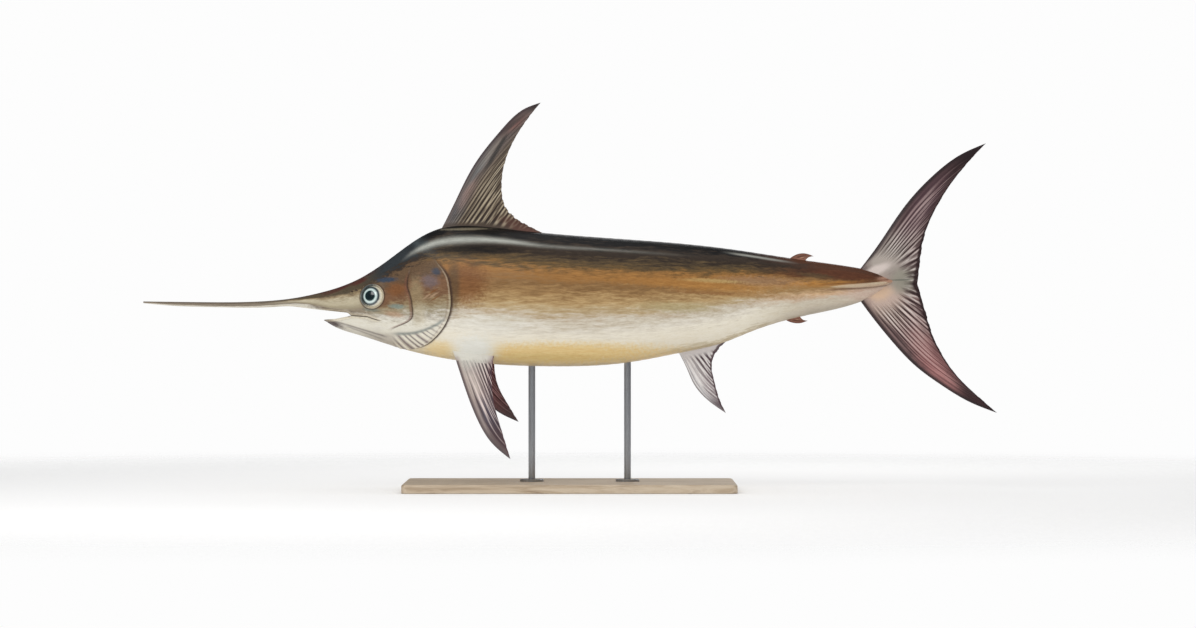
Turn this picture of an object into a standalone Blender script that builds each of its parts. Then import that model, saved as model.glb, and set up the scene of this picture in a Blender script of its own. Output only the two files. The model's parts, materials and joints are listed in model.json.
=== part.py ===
"""A swordfish at life size, as a still museum model that two rods hold over a flat base.

Metres, +Z up. The fish faces -X, and its left side faces -Y. The origin is the middle of the base's
underside. A place on the fish is (behind, up): behind is the distance behind the tip of the bill, and
up is the height above the bill's own level. Both are turned into world coordinates by world().
"""

import math

import bmesh
import bpy
import numpy as np
from mathutils import Matrix, Vector

# Driving dimensions
TOTAL_LENGTH = 3.0  # tip of the bill to the tip of the lower tail lobe
BILL_LEVEL = 0.667  # height of the bill's level above the floor
GAP = 0.0003  # between nodes that touch

# Outline of the body seen from the side, with the jaws closed over as one cone
BACK = (
    (0.0, -0.0045), (0.2, -0.0070), (0.42, -0.0040), (0.53, 0.0070), (0.622, 0.0260), (0.762, 0.0765),
    (0.868, 0.1455), (0.973, 0.2200), (1.06, 0.2560), (1.16, 0.2620), (1.32, 0.2455), (1.65, 0.2170),
    (2.05, 0.1810), (2.308, 0.1425), (2.5, 0.1150), (2.56, 0.1020), (2.635, 0.0730),
)
BELLY = (
    (0.0, -0.0105), (0.1, -0.0195), (0.25, -0.0245), (0.46, -0.0240), (0.555, -0.0265), (0.605, -0.0480),
    (0.657, -0.0840), (0.75, -0.1200), (0.9, -0.1675), (1.114, -0.2130), (1.43, -0.2325), (1.7, -0.2195),
    (1.886, -0.1855), (2.04, -0.1490), (2.13, -0.1130), (2.308, -0.0585), (2.5, -0.0130), (2.56, 0.0120),
    (2.635, 0.0620),
)
# Height of the widest line, and half the width there
WIDEST = (
    (0.0, -0.0070), (0.2, -0.0158), (0.38, -0.0160), (0.5, -0.0100), (0.6, -0.0080), (0.66, -0.0120),
    (0.74, -0.0180), (0.82, -0.0120), (0.92, 0.0020), (1.05, 0.0150), (1.3, 0.0180), (1.6, 0.0080),
    (1.85, 0.0120), (2.05, 0.0220), (2.25, 0.0370), (2.42, 0.0460), (2.53, 0.0520), (2.635, 0.0670),
)
HALF_WIDTH = (
    (0.0, 0.0035), (0.03, 0.0095), (0.1, 0.0150), (0.25, 0.0210), (0.4, 0.0260), (0.52, 0.0310),
    (0.6, 0.0370), (0.66, 0.0450), (0.72, 0.0560), (0.8, 0.0740), (0.9, 0.0990), (1.0, 0.1240),
    (1.1, 0.1430), (1.25, 0.1550), (1.45, 0.1550), (1.65, 0.1450), (1.85, 0.1270), (2.05, 0.1000),
    (2.25, 0.0700), (2.4, 0.0500), (2.5, 0.0380), (2.56, 0.0280), (2.6, 0.0170), (2.635, 0.0060),
)
# Power of the sine that gives the width round the section: under 1 is fuller, over 1 is a sharper ridge
UPPER_POWER = (
    (0.0, 1.0), (0.5, 1.0), (0.8, 0.86), (1.05, 1.05), (1.2, 1.12), (1.45, 1.0), (1.9, 0.95), (2.3, 1.0),
    (2.635, 1.0),
)
LOWER_POWER = (
    (0.0, 1.0), (0.5, 1.0), (0.7, 0.92), (1.0, 0.86), (1.4, 0.84), (1.9, 0.9), (2.3, 1.0), (2.635, 1.0),
)
BODY_END = 2.635
HALF_SIDES = 15  # facets round one side of the body
BODY_STRETCHES = ((0.0, 0.52, 7), (0.52, 0.7, 6), (0.7, 1.1, 15), (1.1, 2.3, 17), (2.3, BODY_END, 9))

# Mouth, as the side view's lines of the upper and the lower lip
UPPER_LIP = ((0.46, -0.0330), (0.5515, -0.0250), (0.622, -0.0335), (0.7226, -0.0440), (0.7328, -0.0526),
             (0.7897, -0.0579), (0.836, -0.0730))
LOWER_LIP = ((0.7328, -0.0556), (0.7191, -0.0580), (0.6755, -0.0663), (0.632, -0.0700), (0.56, -0.0760))
LIP_HEIGHT = 0.012
LIP_RAISED = 0.0026
LIP_SUNK = 0.008
BILL_ROOT = 0.6
TAIL_START = 2.3

# Gill cover: its front edge, behind the cheek, and its free rear edge, from the top down
COVER_FRONT = ((0.938, 0.0950), (0.932, 0.0560), (0.944, 0.0100), (0.951, -0.0400), (0.942, -0.0700),
               (0.915, -0.0850), (0.888, -0.0960), (0.872, -0.1120), (0.874, -0.1320))
COVER_REAR = ((1.046, 0.1230), (1.072, 0.0843), (1.0825, 0.0400), (1.086, -0.0063), (1.0775, -0.0562),
              (1.057, -0.0970), (1.025, -0.1338), (0.990, -0.1580), (0.950, -0.1690))
COVER_THIN = 0.0016  # how far its front edge stands over the head
COVER_THICK = 0.0075  # and its rear edge
COVER_SINK = 0.012
GILL_FOLDS = 6  # of the gill membrane, low on the cover
GILL_FOLD_DEPTH = 0.0018
GILL_CUT = ((0.97, 0.3200), (1.0, 0.2450), (1.040, 0.1250), (1.068, 0.0843), (1.0785, 0.0400),
            (1.082, -0.0063), (1.0735, -0.0562), (1.053, -0.0970), (1.020, -0.1338), (0.985, -0.1600),
            (0.945, -0.2050))

# Eye, its rim and the nostrils
EYE_PLACE = (0.809, 0.0127)
EYE_RADIUS = 0.042
EYE_DEPTH = 0.024  # half the eyeball's depth
EYE_SUNK = 0.016  # the eyeball's middle, under the skin
RIM_RADIUS = 0.0415
RIM_THICK = 0.0045
NOSTRILS = ((0.752, 0.0345), (0.737, 0.0300))
NOSTRIL_RADII = (0.0050, 0.0035, 0.0035)

# Keel along each side of the tail's root: how far it stands out, and half its height at its root
KEEL_LINE = ((2.35, 0.0420), (2.45, 0.0480), (2.55, 0.0540), (2.628, 0.0640))
KEEL_REACH = ((2.35, -0.0020), (2.4, 0.0070), (2.46, 0.0170), (2.53, 0.0260), (2.58, 0.0250), (2.628, 0.0060))
KEEL_HALF_HEIGHT = 0.0095
KEEL_EDGE = 0.0015

# Fins, as outlines in the side view. The leading edge and the last ray run from root to end, the trailing
# edge from the tip back. A bias above 1 starts more of the rays in the front of the root.
FIRST_DORSAL = dict(
    leading=((1.030, 0.2150), (1.089, 0.3300), (1.162, 0.4730), (1.259, 0.5990), (1.3395, 0.6720),
             (1.3970, 0.6940)),
    trailing=((1.3970, 0.6940), (1.3244, 0.5970), (1.2740, 0.4900), (1.2610, 0.4000), (1.2780, 0.3230),
              (1.3400, 0.2710), (1.4080, 0.2340)),
    last_ray=((1.36, 0.2000), (1.4080, 0.2340)),
    rays=13, rows=9, bias=1.6, root_half=0.0075, edge_half=0.0009, ridge=0.0014, notch=0.006,
)
SECOND_DORSAL = dict(
    leading=((2.255, 0.1300), (2.278, 0.1510), (2.300, 0.1620), (2.326, 0.1640), (2.356, 0.1540)),
    trailing=((2.356, 0.1540), (2.338, 0.1500), (2.328, 0.1410)),
    last_ray=((2.310, 0.1250), (2.328, 0.1410)),
    rays=4, rows=4, bias=1.2, root_half=0.0040, edge_half=0.0008, ridge=0.0008, notch=0.001,
)
FIRST_ANAL = dict(
    leading=((1.865, -0.1550), (1.910, -0.2391), (1.9346, -0.2936), (1.985, -0.3520), (2.048, -0.3970)),
    trailing=((2.048, -0.3970), (2.0255, -0.3477), (2.0059, -0.2764), (1.9985, -0.2391), (2.0110, -0.1900),
              (2.0500, -0.1430)),
    last_ray=((2.010, -0.1250), (2.050, -0.1430)),
    rays=9, rows=7, bias=1.4, root_half=0.0060, edge_half=0.0008, ridge=0.0012, notch=0.004,
)
SECOND_ANAL = dict(
    leading=((2.240, -0.0500), (2.262, -0.0720), (2.285, -0.0800), (2.308, -0.0810), (2.335, -0.0720)),
    trailing=((2.335, -0.0720), (2.318, -0.0680), (2.308, -0.0580)),
    last_ray=((2.292, -0.0420), (2.308, -0.0580)),
    rays=4, rows=4, bias=1.2, root_half=0.0035, edge_half=0.0008, ridge=0.0008, notch=0.001,
)
CAUDAL_UPPER = dict(
    leading=((2.500, 0.0850), (2.583, 0.1945), (2.682, 0.3380), (2.781, 0.4430), (2.870, 0.5100),
             (2.961, 0.5510)),
    trailing=((2.961, 0.5510), (2.860, 0.4370), (2.7745, 0.3000), (2.740, 0.2010), (2.7315, 0.1350),
              (2.7200, 0.0575)),
    last_ray=((2.600, 0.0675), (2.7200, 0.0575)),
    rays=11, rows=8, bias=1.0, root_half=0.0120, edge_half=0.0010, ridge=0.0014, notch=0.005,
)
CAUDAL_LOWER = dict(
    leading=((2.500, 0.0250), (2.5697, -0.0696), (2.6291, -0.1423), (2.7152, -0.2325), (2.8009, -0.2960),
             (2.9000, -0.3560), (3.0, -0.3960)),
    trailing=((3.0, -0.3960), (2.933, -0.3370), (2.8669, -0.2735), (2.8139, -0.2010), (2.7745, -0.1215),
              (2.738, 0.0031), (2.7200, 0.0569)),
    last_ray=((2.600, 0.0669), (2.7200, 0.0569)),
    rays=11, rows=8, bias=1.0, root_half=0.0120, edge_half=0.0010, ridge=0.0014, notch=0.005,
)
# Pectoral fin in its own plane: behind and above the front of its root
PECTORAL = dict(
    leading=((-0.014, 0.0550), (0.0360, -0.1020), (0.0926, -0.2475), (0.1333, -0.3140), (0.2022, -0.3770)),
    trailing=((0.2022, -0.3770), (0.1709, -0.2720), (0.1430, -0.1690), (0.1370, -0.0800), (0.1450, 0.0200)),
    last_ray=((0.1200, 0.0550), (0.1450, 0.0200)),
    rays=10, rows=8, bias=1.1, root_half=0.0080, edge_half=0.0009, ridge=0.0012, notch=0.004,
)
PECTORAL_ROOT = (1.092, -0.1900)
PECTORAL_ROOT_ASIDE = 0.082
PECTORAL_BEND = 0.035  # how far the blade curves out over its length
LEFT_SPLAY = math.radians(11)  # out from hanging straight down
RIGHT_SPLAY = math.radians(43)
RIGHT_SWEEP = math.radians(3)
RAY_HALF_WIDTH = 0.24  # of the space between rays
CREASE = math.radians(35)

# Stand
BASE_SIZE = (1.16, 0.72, 0.03)
BASE_CORNER = 0.03
BASE_BEVEL = 0.006
ROD_PLACES = {"stand_rod_front": 1.366, "stand_rod_rear": 1.702}
ROD_RADIUS = 0.012
FLANGE_RADIUS = 0.042
FLANGE_THICK = 0.008
ROD_SINK = 0.03
ROD_SIDES = 20

MATERIALS = {
    "skin_flank": ((0.30, 0.21, 0.12), 0.42, 0.0),
    "skin_tail": ((0.27, 0.18, 0.11), 0.42, 0.0),
    "skin_head": ((0.33, 0.25, 0.18), 0.4, 0.0),
    "skin_jaw": ((0.55, 0.51, 0.45), 0.42, 0.0),
    "bill_horn": ((0.13, 0.10, 0.07), 0.38, 0.0),
    "fin_dark": ((0.10, 0.075, 0.07), 0.45, 0.0),
    "fin_pale": ((0.38, 0.33, 0.31), 0.45, 0.0),
    "eye": ((0.55, 0.60, 0.58), 0.08, 0.0),
    "stand_wood": ((0.035, 0.025, 0.02), 0.3, 0.0),
    "stand_steel": ((0.55, 0.55, 0.56), 0.28, 1.0),
}
FINISHES = {
    "torso": "skin_flank", "tail": "skin_tail", "head": "skin_head", "lower_jaw": "skin_jaw",
    "bill": "bill_horn", "gill_cover_left": "skin_head", "gill_cover_right": "skin_head",
    "eye_left": "eye", "eye_right": "eye", "keel_left": "skin_tail", "keel_right": "skin_tail",
    "first_dorsal_fin": "fin_dark", "second_dorsal_fin": "fin_dark", "first_anal_fin": "fin_pale",
    "second_anal_fin": "fin_pale", "caudal_fin_upper": "fin_dark", "caudal_fin_lower": "fin_dark",
    "pectoral_fin_left": "fin_pale", "pectoral_fin_right": "fin_pale", "stand_base": "stand_wood",
    "stand_rod_front": "stand_steel", "stand_rod_rear": "stand_steel",
}
# Middle of each piece that the body is parted into, as (behind, up)
BODY_PIECES = {
    "bill": (0.3, -0.01), "head": (0.82, 0.05), "lower_jaw": (0.735, -0.1), "torso": (1.64, 0.02),
    "tail": (2.47, 0.04),
}


def smooth_curve(stations):
    """A function through (place, value) pairs: the natural cubic spline, which bends evenly."""
    places, values = np.array(stations, float).T
    steps = np.diff(places)
    count = len(places)
    system, wanted = np.eye(count), np.zeros(count)
    for i in range(1, count - 1):
        system[i, i - 1 : i + 2] = steps[i - 1], 2 * (steps[i - 1] + steps[i]), steps[i]
        wanted[i] = 6 * ((values[i + 1] - values[i]) / steps[i] - (values[i] - values[i - 1]) / steps[i - 1])
    bends = np.linalg.solve(system, wanted)

    def curve(at):
        at = np.clip(np.asarray(at, float), places[0], places[-1])
        i = np.clip(np.searchsorted(places, at, side="right") - 1, 0, count - 2)
        step, left, right = steps[i], at - places[i], places[i + 1] - at
        return (
            (bends[i] * right**3 + bends[i + 1] * left**3) / (6 * step)
            + (values[i] / step - bends[i] * step / 6) * right
            + (values[i + 1] / step - bends[i + 1] * step / 6) * left
        )

    return curve


def smooth_path(points):
    """A function from 0..1 to places along a smooth path through points, evenly by their distances."""
    points = np.array(points, float)
    lengths = np.linalg.norm(np.diff(points, axis=0), axis=1)
    along = np.concatenate([[0], np.cumsum(lengths)]) / lengths.sum()
    curves = [smooth_curve(list(zip(along, values))) for values in points.T]
    return lambda t: np.stack([curve(t) for curve in curves], axis=-1)


back, belly = smooth_curve(BACK), smooth_curve(BELLY)
widest, half_width = smooth_curve(WIDEST), smooth_curve(HALF_WIDTH)
upper_power, lower_power = smooth_curve(UPPER_POWER), smooth_curve(LOWER_POWER)


def world(behind, aside, up):
    return np.stack(np.broadcast_arrays(behind - TOTAL_LENGTH / 2, aside, up + BILL_LEVEL), axis=-1)


def body_surface(behind, angle):
    """The body's skin. angle runs from 0 on the back, down the left side, to pi on the belly and up to 2 pi."""
    cosine, sine = np.cos(angle), np.sin(angle)
    reach = np.where(cosine > 0, back(behind) - widest(behind), widest(behind) - belly(behind))
    power = np.where(cosine > 0, upper_power(behind), lower_power(behind))
    aside = -np.sign(sine) * half_width(behind) * np.abs(sine) ** power
    return world(behind, aside, widest(behind) + reach * cosine)


def angle_at(behind, up):
    """The angle on the left side at which the skin has this height."""
    middle = widest(behind)
    reach = np.where(up > middle, back(behind) - middle, middle - belly(behind))
    return np.arccos(np.clip((up - middle) / reach, -0.999, 0.999))


def skin(behind, up, lift, side=-1):
    """The point over the skin of one side, -1 left or 1 right, that is lift away from it."""
    angle = angle_at(behind, up)
    step = 1e-4
    here = body_surface(behind, angle)
    along = body_surface(behind + step, angle) - here
    round_it = body_surface(behind, angle + step) - here
    normal = np.cross(round_it, along)
    normal /= np.linalg.norm(normal, axis=-1, keepdims=True)
    point = here + normal * np.asarray(lift)[..., None]
    point[..., 1] *= -side
    return point


def add_object(name, points, faces):
    mesh = bpy.data.meshes.new(name)
    mesh.from_pydata([tuple(p) for p in points], [], [tuple(f) for f in faces])
    made = bmesh.new()
    made.from_mesh(mesh)
    bmesh.ops.recalc_face_normals(made, faces=made.faces)
    made.to_mesh(mesh)
    made.free()
    obj = bpy.data.objects.new(name, mesh)
    bpy.context.scene.collection.objects.link(obj)
    return obj


def grid_faces(rows, columns, start=0, closed=False):
    """Triangles over a grid of points, all split along the same diagonal."""
    faces = []
    for row in range(rows - 1):
        for column in range(columns if closed else columns - 1):
            beside = (column + 1) % columns
            a, b = start + row * columns + column, start + row * columns + beside
            c, d = a + columns, b + columns
            faces += [(a, b, d), (a, d, c)]
    return faces


def slab(name, first, second):
    """The closed solid between two grids of points, with faces split alike on both."""
    rows, columns = first.shape[:2]
    size = rows * columns
    points = np.concatenate([first.reshape(-1, 3), second.reshape(-1, 3)])
    faces = grid_faces(rows, columns)
    faces += [tuple(reversed([corner + size for corner in face])) for face in grid_faces(rows, columns)]
    top = list(range(columns))
    right = [columns - 1 + row * columns for row in range(rows)]
    bottom = [(rows - 1) * columns + column for column in reversed(range(columns))]
    left = [row * columns for row in reversed(range(rows))]
    rim = top + right[1:] + bottom[1:] + left[1:-1]
    for here, there in zip(rim, rim[1:] + rim[:1]):
        faces += [(here, here + size, there + size), (here, there + size, there)]
    return add_object(name, points, faces)


def body_solid(name, lift=0.0):
    """The whole body from the bill to the root of the tail fin, grown outwards by lift."""
    places = [np.linspace(first, last, count, endpoint=False) for first, last, count in BODY_STRETCHES]
    places = np.append(np.concatenate(places), BODY_END)
    angles = np.linspace(0, 2 * math.pi, 2 * HALF_SIDES, endpoint=False)
    rings = body_surface(places[:, None], angles[None, :])
    rows, columns = rings.shape[:2]
    points = np.concatenate([rings.reshape(-1, 3), rings[[0, -1]].mean(axis=1)])
    faces = grid_faces(rows, columns, closed=True)
    for column in range(columns):
        beside = (column + 1) % columns
        last = (rows - 1) * columns
        faces += [(beside, column, rows * columns), (last + column, last + beside, rows * columns + 1)]
    obj = add_object(name, points, faces)
    if lift:
        normals = [vertex.normal.copy() for vertex in obj.data.vertices]
        for vertex, normal in zip(obj.data.vertices, normals):
            vertex.co += lift * normal
    return obj


def islands(mesh):
    """The vertex indices of each separate surface, largest first."""
    owner = list(range(len(mesh.vertices)))

    def root(i):
        while owner[i] != i:
            owner[i] = owner[owner[i]]
            i = owner[i]
        return i

    for edge in mesh.edges:
        owner[root(edge.vertices[0])] = root(edge.vertices[1])
    groups = {}
    for i in range(len(owner)):
        groups.setdefault(root(i), set()).add(i)
    return sorted(groups.values(), key=len, reverse=True)


def keep_vertices(mesh, kept):
    made = bmesh.new()
    made.from_mesh(mesh)
    bmesh.ops.delete(made, geom=[v for v in made.verts if v.index not in kept], context="VERTS")
    made.to_mesh(mesh)
    made.free()


def combine(obj, others, operation):
    """Joins the other objects to this one, or cuts them from it, and removes them."""
    pieces = bpy.data.collections.new("pieces")
    bpy.context.scene.collection.children.link(pieces)
    for other in others:
        pieces.objects.link(other)
    modifier = obj.modifiers.new("Combine", "BOOLEAN")
    modifier.operation = operation
    modifier.operand_type = "COLLECTION"
    modifier.collection = pieces
    modifier.solver = "EXACT"
    graph = bpy.context.evaluated_depsgraph_get()
    combined = bpy.data.meshes.new_from_object(obj.evaluated_get(graph))
    obj.modifiers.clear()
    obj.data = combined
    for other in others:
        bpy.data.objects.remove(other)
    bpy.data.collections.remove(pieces)


def cut_clear(obj):
    """Cuts away what lies inside the body, with a gap left, and keeps the largest piece."""
    combine(obj, [body_solid("cutter", GAP)], "DIFFERENCE")
    keep_vertices(obj.data, islands(obj.data)[0])
    return obj


def prism(name, outline, low, high):
    """A side-view outline made solid from one distance aside to another."""
    flat = np.array(outline, float)
    count = len(flat)
    points = np.concatenate([world(flat[:, 0], low, flat[:, 1]), world(flat[:, 0], high, flat[:, 1])])
    faces = [tuple(range(count)), tuple(reversed(range(count, 2 * count)))]
    faces += [(i, (i + 1) % count, count + (i + 1) % count, count + i) for i in range(count)]
    return add_object(name, points, faces)


def mouth_cutter():
    """The open mouth, closing to a thin cut at the lips, with a thin cut down behind the jaw."""
    side = half_width(0.9)
    corner = UPPER_LIP[-1]
    closed = [(behind, up - GAP) for behind, up in reversed(UPPER_LIP[-2:-1])]
    slit = [(corner[0], -0.25), (corner[0] - GAP, -0.25), (corner[0] - GAP, corner[1] - GAP)]
    return prism("mouth", list(UPPER_LIP) + slit + closed + list(LOWER_LIP), -side, side)


def cross_cutter(behind):
    """A thin upright cut right through the body."""
    outline = [(behind, -0.3), (behind + GAP, -0.3), (behind + GAP, 0.35), (behind, 0.35)]
    return prism("cross", outline, -0.25, 0.25)


def gill_cutter():
    """A thin cut that follows the gill opening from the nape to the throat."""
    line = smooth_path(GILL_CUT)(np.linspace(0, 1, 25))
    outline = [tuple(p) for p in line] + [(p[0] + GAP, p[1]) for p in line[::-1]]
    return prism("gill", outline, -0.25, 0.25)


def side_frame(place, side):
    """A matrix that stands on the skin at a place, with its Z pointing out."""
    here = skin(place[0], place[1], 0.0, side)
    out = Vector(skin(place[0], place[1], 1.0, side) - here)
    along = Vector((1, 0, 0))
    up = out.cross(along).normalized()
    along = up.cross(out).normalized()
    return Matrix.Translation(Vector(here)) @ Matrix((along, up, out)).transposed().to_4x4()


def ball(name, frame, radii, lift, rings=10, sides=20):
    """An ellipsoid on a frame, with its middle lift over the frame's origin."""
    made = bmesh.new()
    bmesh.ops.create_uvsphere(made, u_segments=sides, v_segments=rings, radius=1.0)
    bmesh.ops.triangulate(made, faces=made.faces)
    placing = frame @ Matrix.Translation((0, 0, lift)) @ Matrix.Diagonal((*radii, 1.0))
    bmesh.ops.transform(made, matrix=placing, verts=made.verts)
    mesh = bpy.data.meshes.new(name)
    made.to_mesh(mesh)
    made.free()
    obj = bpy.data.objects.new(name, mesh)
    bpy.context.scene.collection.objects.link(obj)
    return obj


def eye_rim(side):
    """The raised ring of skin round the eye."""
    frame = side_frame(EYE_PLACE, side)
    turns, sides = 28, 6
    around = np.linspace(0, 2 * math.pi, turns, endpoint=False)[:, None]
    round_tube = np.linspace(0, 2 * math.pi, sides, endpoint=False)[None, :]
    radius = RIM_RADIUS + RIM_THICK * np.cos(round_tube)
    points = np.stack(
        [radius * np.cos(around), radius * np.sin(around), RIM_THICK * np.sin(round_tube) + 0 * around],
        axis=-1,
    ).reshape(-1, 3)
    faces = []
    for i in range(turns):
        for j in range(sides):
            a, b = i * sides + j, i * sides + (j + 1) % sides
            c, d = (a + sides) % (turns * sides), (b + sides) % (turns * sides)
            faces += [(a, b, d), (a, d, c)]
    return add_object("rim", [frame @ Vector(p) for p in points], faces)


def lip(side, line, height):
    """A raised strip of skin along a lip, fading out at both ends. A lower lip has its height below 0."""
    along = np.linspace(0, 1, 13)
    places = smooth_path(line)(along)
    fade = np.sin(math.pi * along[:, None]) ** 0.6
    across = np.array([-0.1, 0.35, 0.7, 1.0])
    profile = np.array([1.0, 1.0, 0.6, -0.1])
    behind = places[:, None, 0] + 0 * across
    up = places[:, None, 1] + height * across * (0.4 + 0.6 * fade)
    lift = LIP_RAISED * (profile * fade - 0.1)
    return slab("lip", skin(behind, up, lift, side), skin(behind, up, lift - LIP_SUNK, side))


def nostril(side, place):
    return ball("nostril", side_frame(place, side), NOSTRIL_RADII, 0.0, rings=6, sides=10)


def eyeball(name, side, grown=0.0):
    radii = (EYE_RADIUS + grown, EYE_RADIUS + grown, EYE_DEPTH + grown)
    return ball(name, side_frame(EYE_PLACE, side), radii, -EYE_SUNK, rings=9, sides=24)


def make_body():
    """The body as one solid with its mouth, lips, nostrils and eye sockets, parted by thin cuts."""
    body = body_solid("body")
    raised = []
    for side in (-1, 1):
        raised.append(eye_rim(side))
        raised.append(lip(side, UPPER_LIP[3:], LIP_HEIGHT))
        raised.append(lip(side, LOWER_LIP[:3], -LIP_HEIGHT))
    combine(body, raised, "UNION")
    keep_vertices(body.data, islands(body.data)[0])
    cuts = [mouth_cutter(), gill_cutter(), cross_cutter(BILL_ROOT), cross_cutter(TAIL_START)]
    for side in (-1, 1):
        cuts.append(eyeball("socket", side, GAP))
        cuts += [nostril(side, place) for place in NOSTRILS]
    combine(body, cuts, "DIFFERENCE")
    surfaces = islands(body.data)
    for name, (behind, up) in BODY_PIECES.items():
        middle = Vector(world(behind, 0.0, up))

        def distance(kept):
            corners = np.array([body.data.vertices[i].co for i in kept])
            return (Vector((corners.min(0) + corners.max(0)) / 2) - middle).length

        nearest = min(surfaces[: len(BODY_PIECES)], key=distance)
        mesh = body.data.copy()
        keep_vertices(mesh, nearest)
        bpy.context.scene.collection.objects.link(bpy.data.objects.new(name, mesh))
    bpy.data.objects.remove(body)


def gill_cover(name, side):
    """The bony flap over the gills: thin at the cheek, thick at its free edge, with folds low down."""
    down = np.linspace(0, 1, 14)[:, None]
    across = np.linspace(0, 1, 12)[None, :]
    front, rear = smooth_path(COVER_FRONT)(down[:, 0]), smooth_path(COVER_REAR)(down[:, 0])
    place = front[:, None, :] * (1 - across[..., None]) + rear[:, None, :] * across[..., None]
    lift = COVER_THIN + (COVER_THICK - COVER_THIN) * across**1.5 + 0 * down
    low = np.sin(math.pi * np.clip((down - 0.58) / 0.42, 0, 1))
    lift += GILL_FOLD_DEPTH * low * np.sin(math.pi * across) * np.cos(2 * math.pi * GILL_FOLDS * across)
    lift[:, -1] *= 0.55
    lift[[0, -1]] *= 0.5
    outer = skin(place[..., 0], place[..., 1], lift, side)
    return cut_clear(slab(name, outer, skin(place[..., 0], place[..., 1], 0 * lift - COVER_SINK, side)))


def fin_blade(spec, placed, name):
    """A fin with a raised ridge along each ray. placed turns (behind, up, aside) of its plane into points."""
    leading, trailing = smooth_path(spec["leading"]), smooth_path(spec["trailing"])
    last_ray = smooth_path(spec["last_ray"])
    rays, rows, bias = spec["rays"], spec["rows"], spec["bias"]
    centres = (np.arange(rays) + 0.5) / rays
    half = RAY_HALF_WIDTH / rays
    across = np.concatenate([[0.0], np.stack([centres - half, centres, centres + half], 1).ravel(), [1.0]])
    crest = np.concatenate([[0.0], np.tile([0.0, 1.0, 0.0], rays), [0.0]])
    along = np.linspace(0, 1, rows)[:, None]
    v = across[None, :]
    start, end = np.array(spec["leading"][0]), np.array(spec["last_ray"][0])
    tip, heel = np.array(spec["leading"][-1]), np.array(spec["last_ray"][-1])
    shift = v**bias
    root = start + (end - start) * shift[..., None]
    side_curves = leading(along) * (1 - v[..., None]) + last_ray(along) * v[..., None]
    ends = root * (1 - along[..., None]) + trailing(v) * along[..., None]
    corners = (start * (1 - v[..., None]) + end * v[..., None]) * (1 - along[..., None])
    corners = corners + (tip * (1 - v[..., None]) + heel * v[..., None]) * along[..., None]
    place = side_curves + ends - corners
    ray_end = place[-1] - place[-2]
    ray_end /= np.linalg.norm(ray_end, axis=-1, keepdims=True) + 1e-9
    inside = np.minimum(1, 6 * np.minimum(v, 1 - v))[0]
    place[-1] += ray_end * (spec["notch"] * (crest - 0.5) * inside)[:, None]
    half_thick = spec["edge_half"] + (spec["root_half"] - spec["edge_half"]) * (1 - along) ** 1.6 * (1 - 0.5 * v)
    half_thick = half_thick + spec["ridge"] * crest[None, :] * (1 - 0.6 * along)
    half_thick[:, 0] *= 0.45
    faces = [placed(place[..., 0], place[..., 1], sign * half_thick) for sign in (-1, 1)]
    return slab(name, *faces)


def median_fin(name, spec):
    """A fin on the fish's middle line, grown from its body."""
    return cut_clear(fin_blade(spec, lambda behind, up, aside: world(behind, aside, up), name))


def pectoral_fin(name, side, splay, sweep):
    """A fin low on one flank, hung down, splayed out and swept back about the front of its root."""
    length = -PECTORAL["leading"][-1][1]

    def placed(behind, up, thick):
        swept_behind = behind * math.cos(sweep) - up * math.sin(sweep)
        swept_up = behind * math.sin(sweep) + up * math.cos(sweep)
        out = thick + PECTORAL_BEND * np.clip(-swept_up / length, 0, 1.1) ** 2
        down_aside = -swept_up * math.sin(splay) + out * math.cos(splay)
        rise = swept_up * math.cos(splay) + out * math.sin(splay)
        aside = side * (PECTORAL_ROOT_ASIDE + down_aside)
        return world(PECTORAL_ROOT[0] + swept_behind, aside, PECTORAL_ROOT[1] + rise)

    return cut_clear(fin_blade(PECTORAL, placed, name))


def keel(name, side):
    """The flat ridge along one side of the tail's root."""
    line, reach = smooth_curve(KEEL_LINE), smooth_curve(KEEL_REACH)
    behind = np.linspace(KEEL_LINE[0][0], KEEL_LINE[-1][0], 16)[:, None]
    across = np.array([0.0, 0.45, 0.8, 1.0])[None, :]
    inner = half_width(behind) * 0.4
    outer = half_width(behind) + reach(behind)
    aside = side * (inner + (outer - inner) * across)
    thick = KEEL_EDGE + (KEEL_HALF_HEIGHT - KEEL_EDGE) * (1 - across) ** 0.8 + 0 * behind
    thick[[0, -1]] *= 0.5
    faces = [world(behind + 0 * across, aside, line(behind) + sign * thick) for sign in (-1, 1)]
    return cut_clear(slab(name, *faces))


def stand_base():
    made = bmesh.new()
    bmesh.ops.create_cube(made, size=1.0)
    length, width, thick = BASE_SIZE
    placing = Matrix.Translation((0, 0, thick / 2)) @ Matrix.Diagonal((length, width, thick, 1.0))
    bmesh.ops.transform(made, matrix=placing, verts=made.verts)
    upright = [e for e in made.edges if abs(e.verts[0].co.z - e.verts[1].co.z) > thick / 2]
    bmesh.ops.bevel(made, geom=upright, offset=BASE_CORNER, segments=5, profile=0.5, affect="EDGES")
    rim = [e for e in made.edges if min(v.co.z for v in e.verts) > thick - 1e-6]
    bmesh.ops.bevel(made, geom=rim, offset=BASE_BEVEL, segments=2, profile=0.5, affect="EDGES")
    mesh = bpy.data.meshes.new("stand_base")
    made.to_mesh(mesh)
    made.free()
    bpy.context.scene.collection.objects.link(bpy.data.objects.new("stand_base", mesh))


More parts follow.
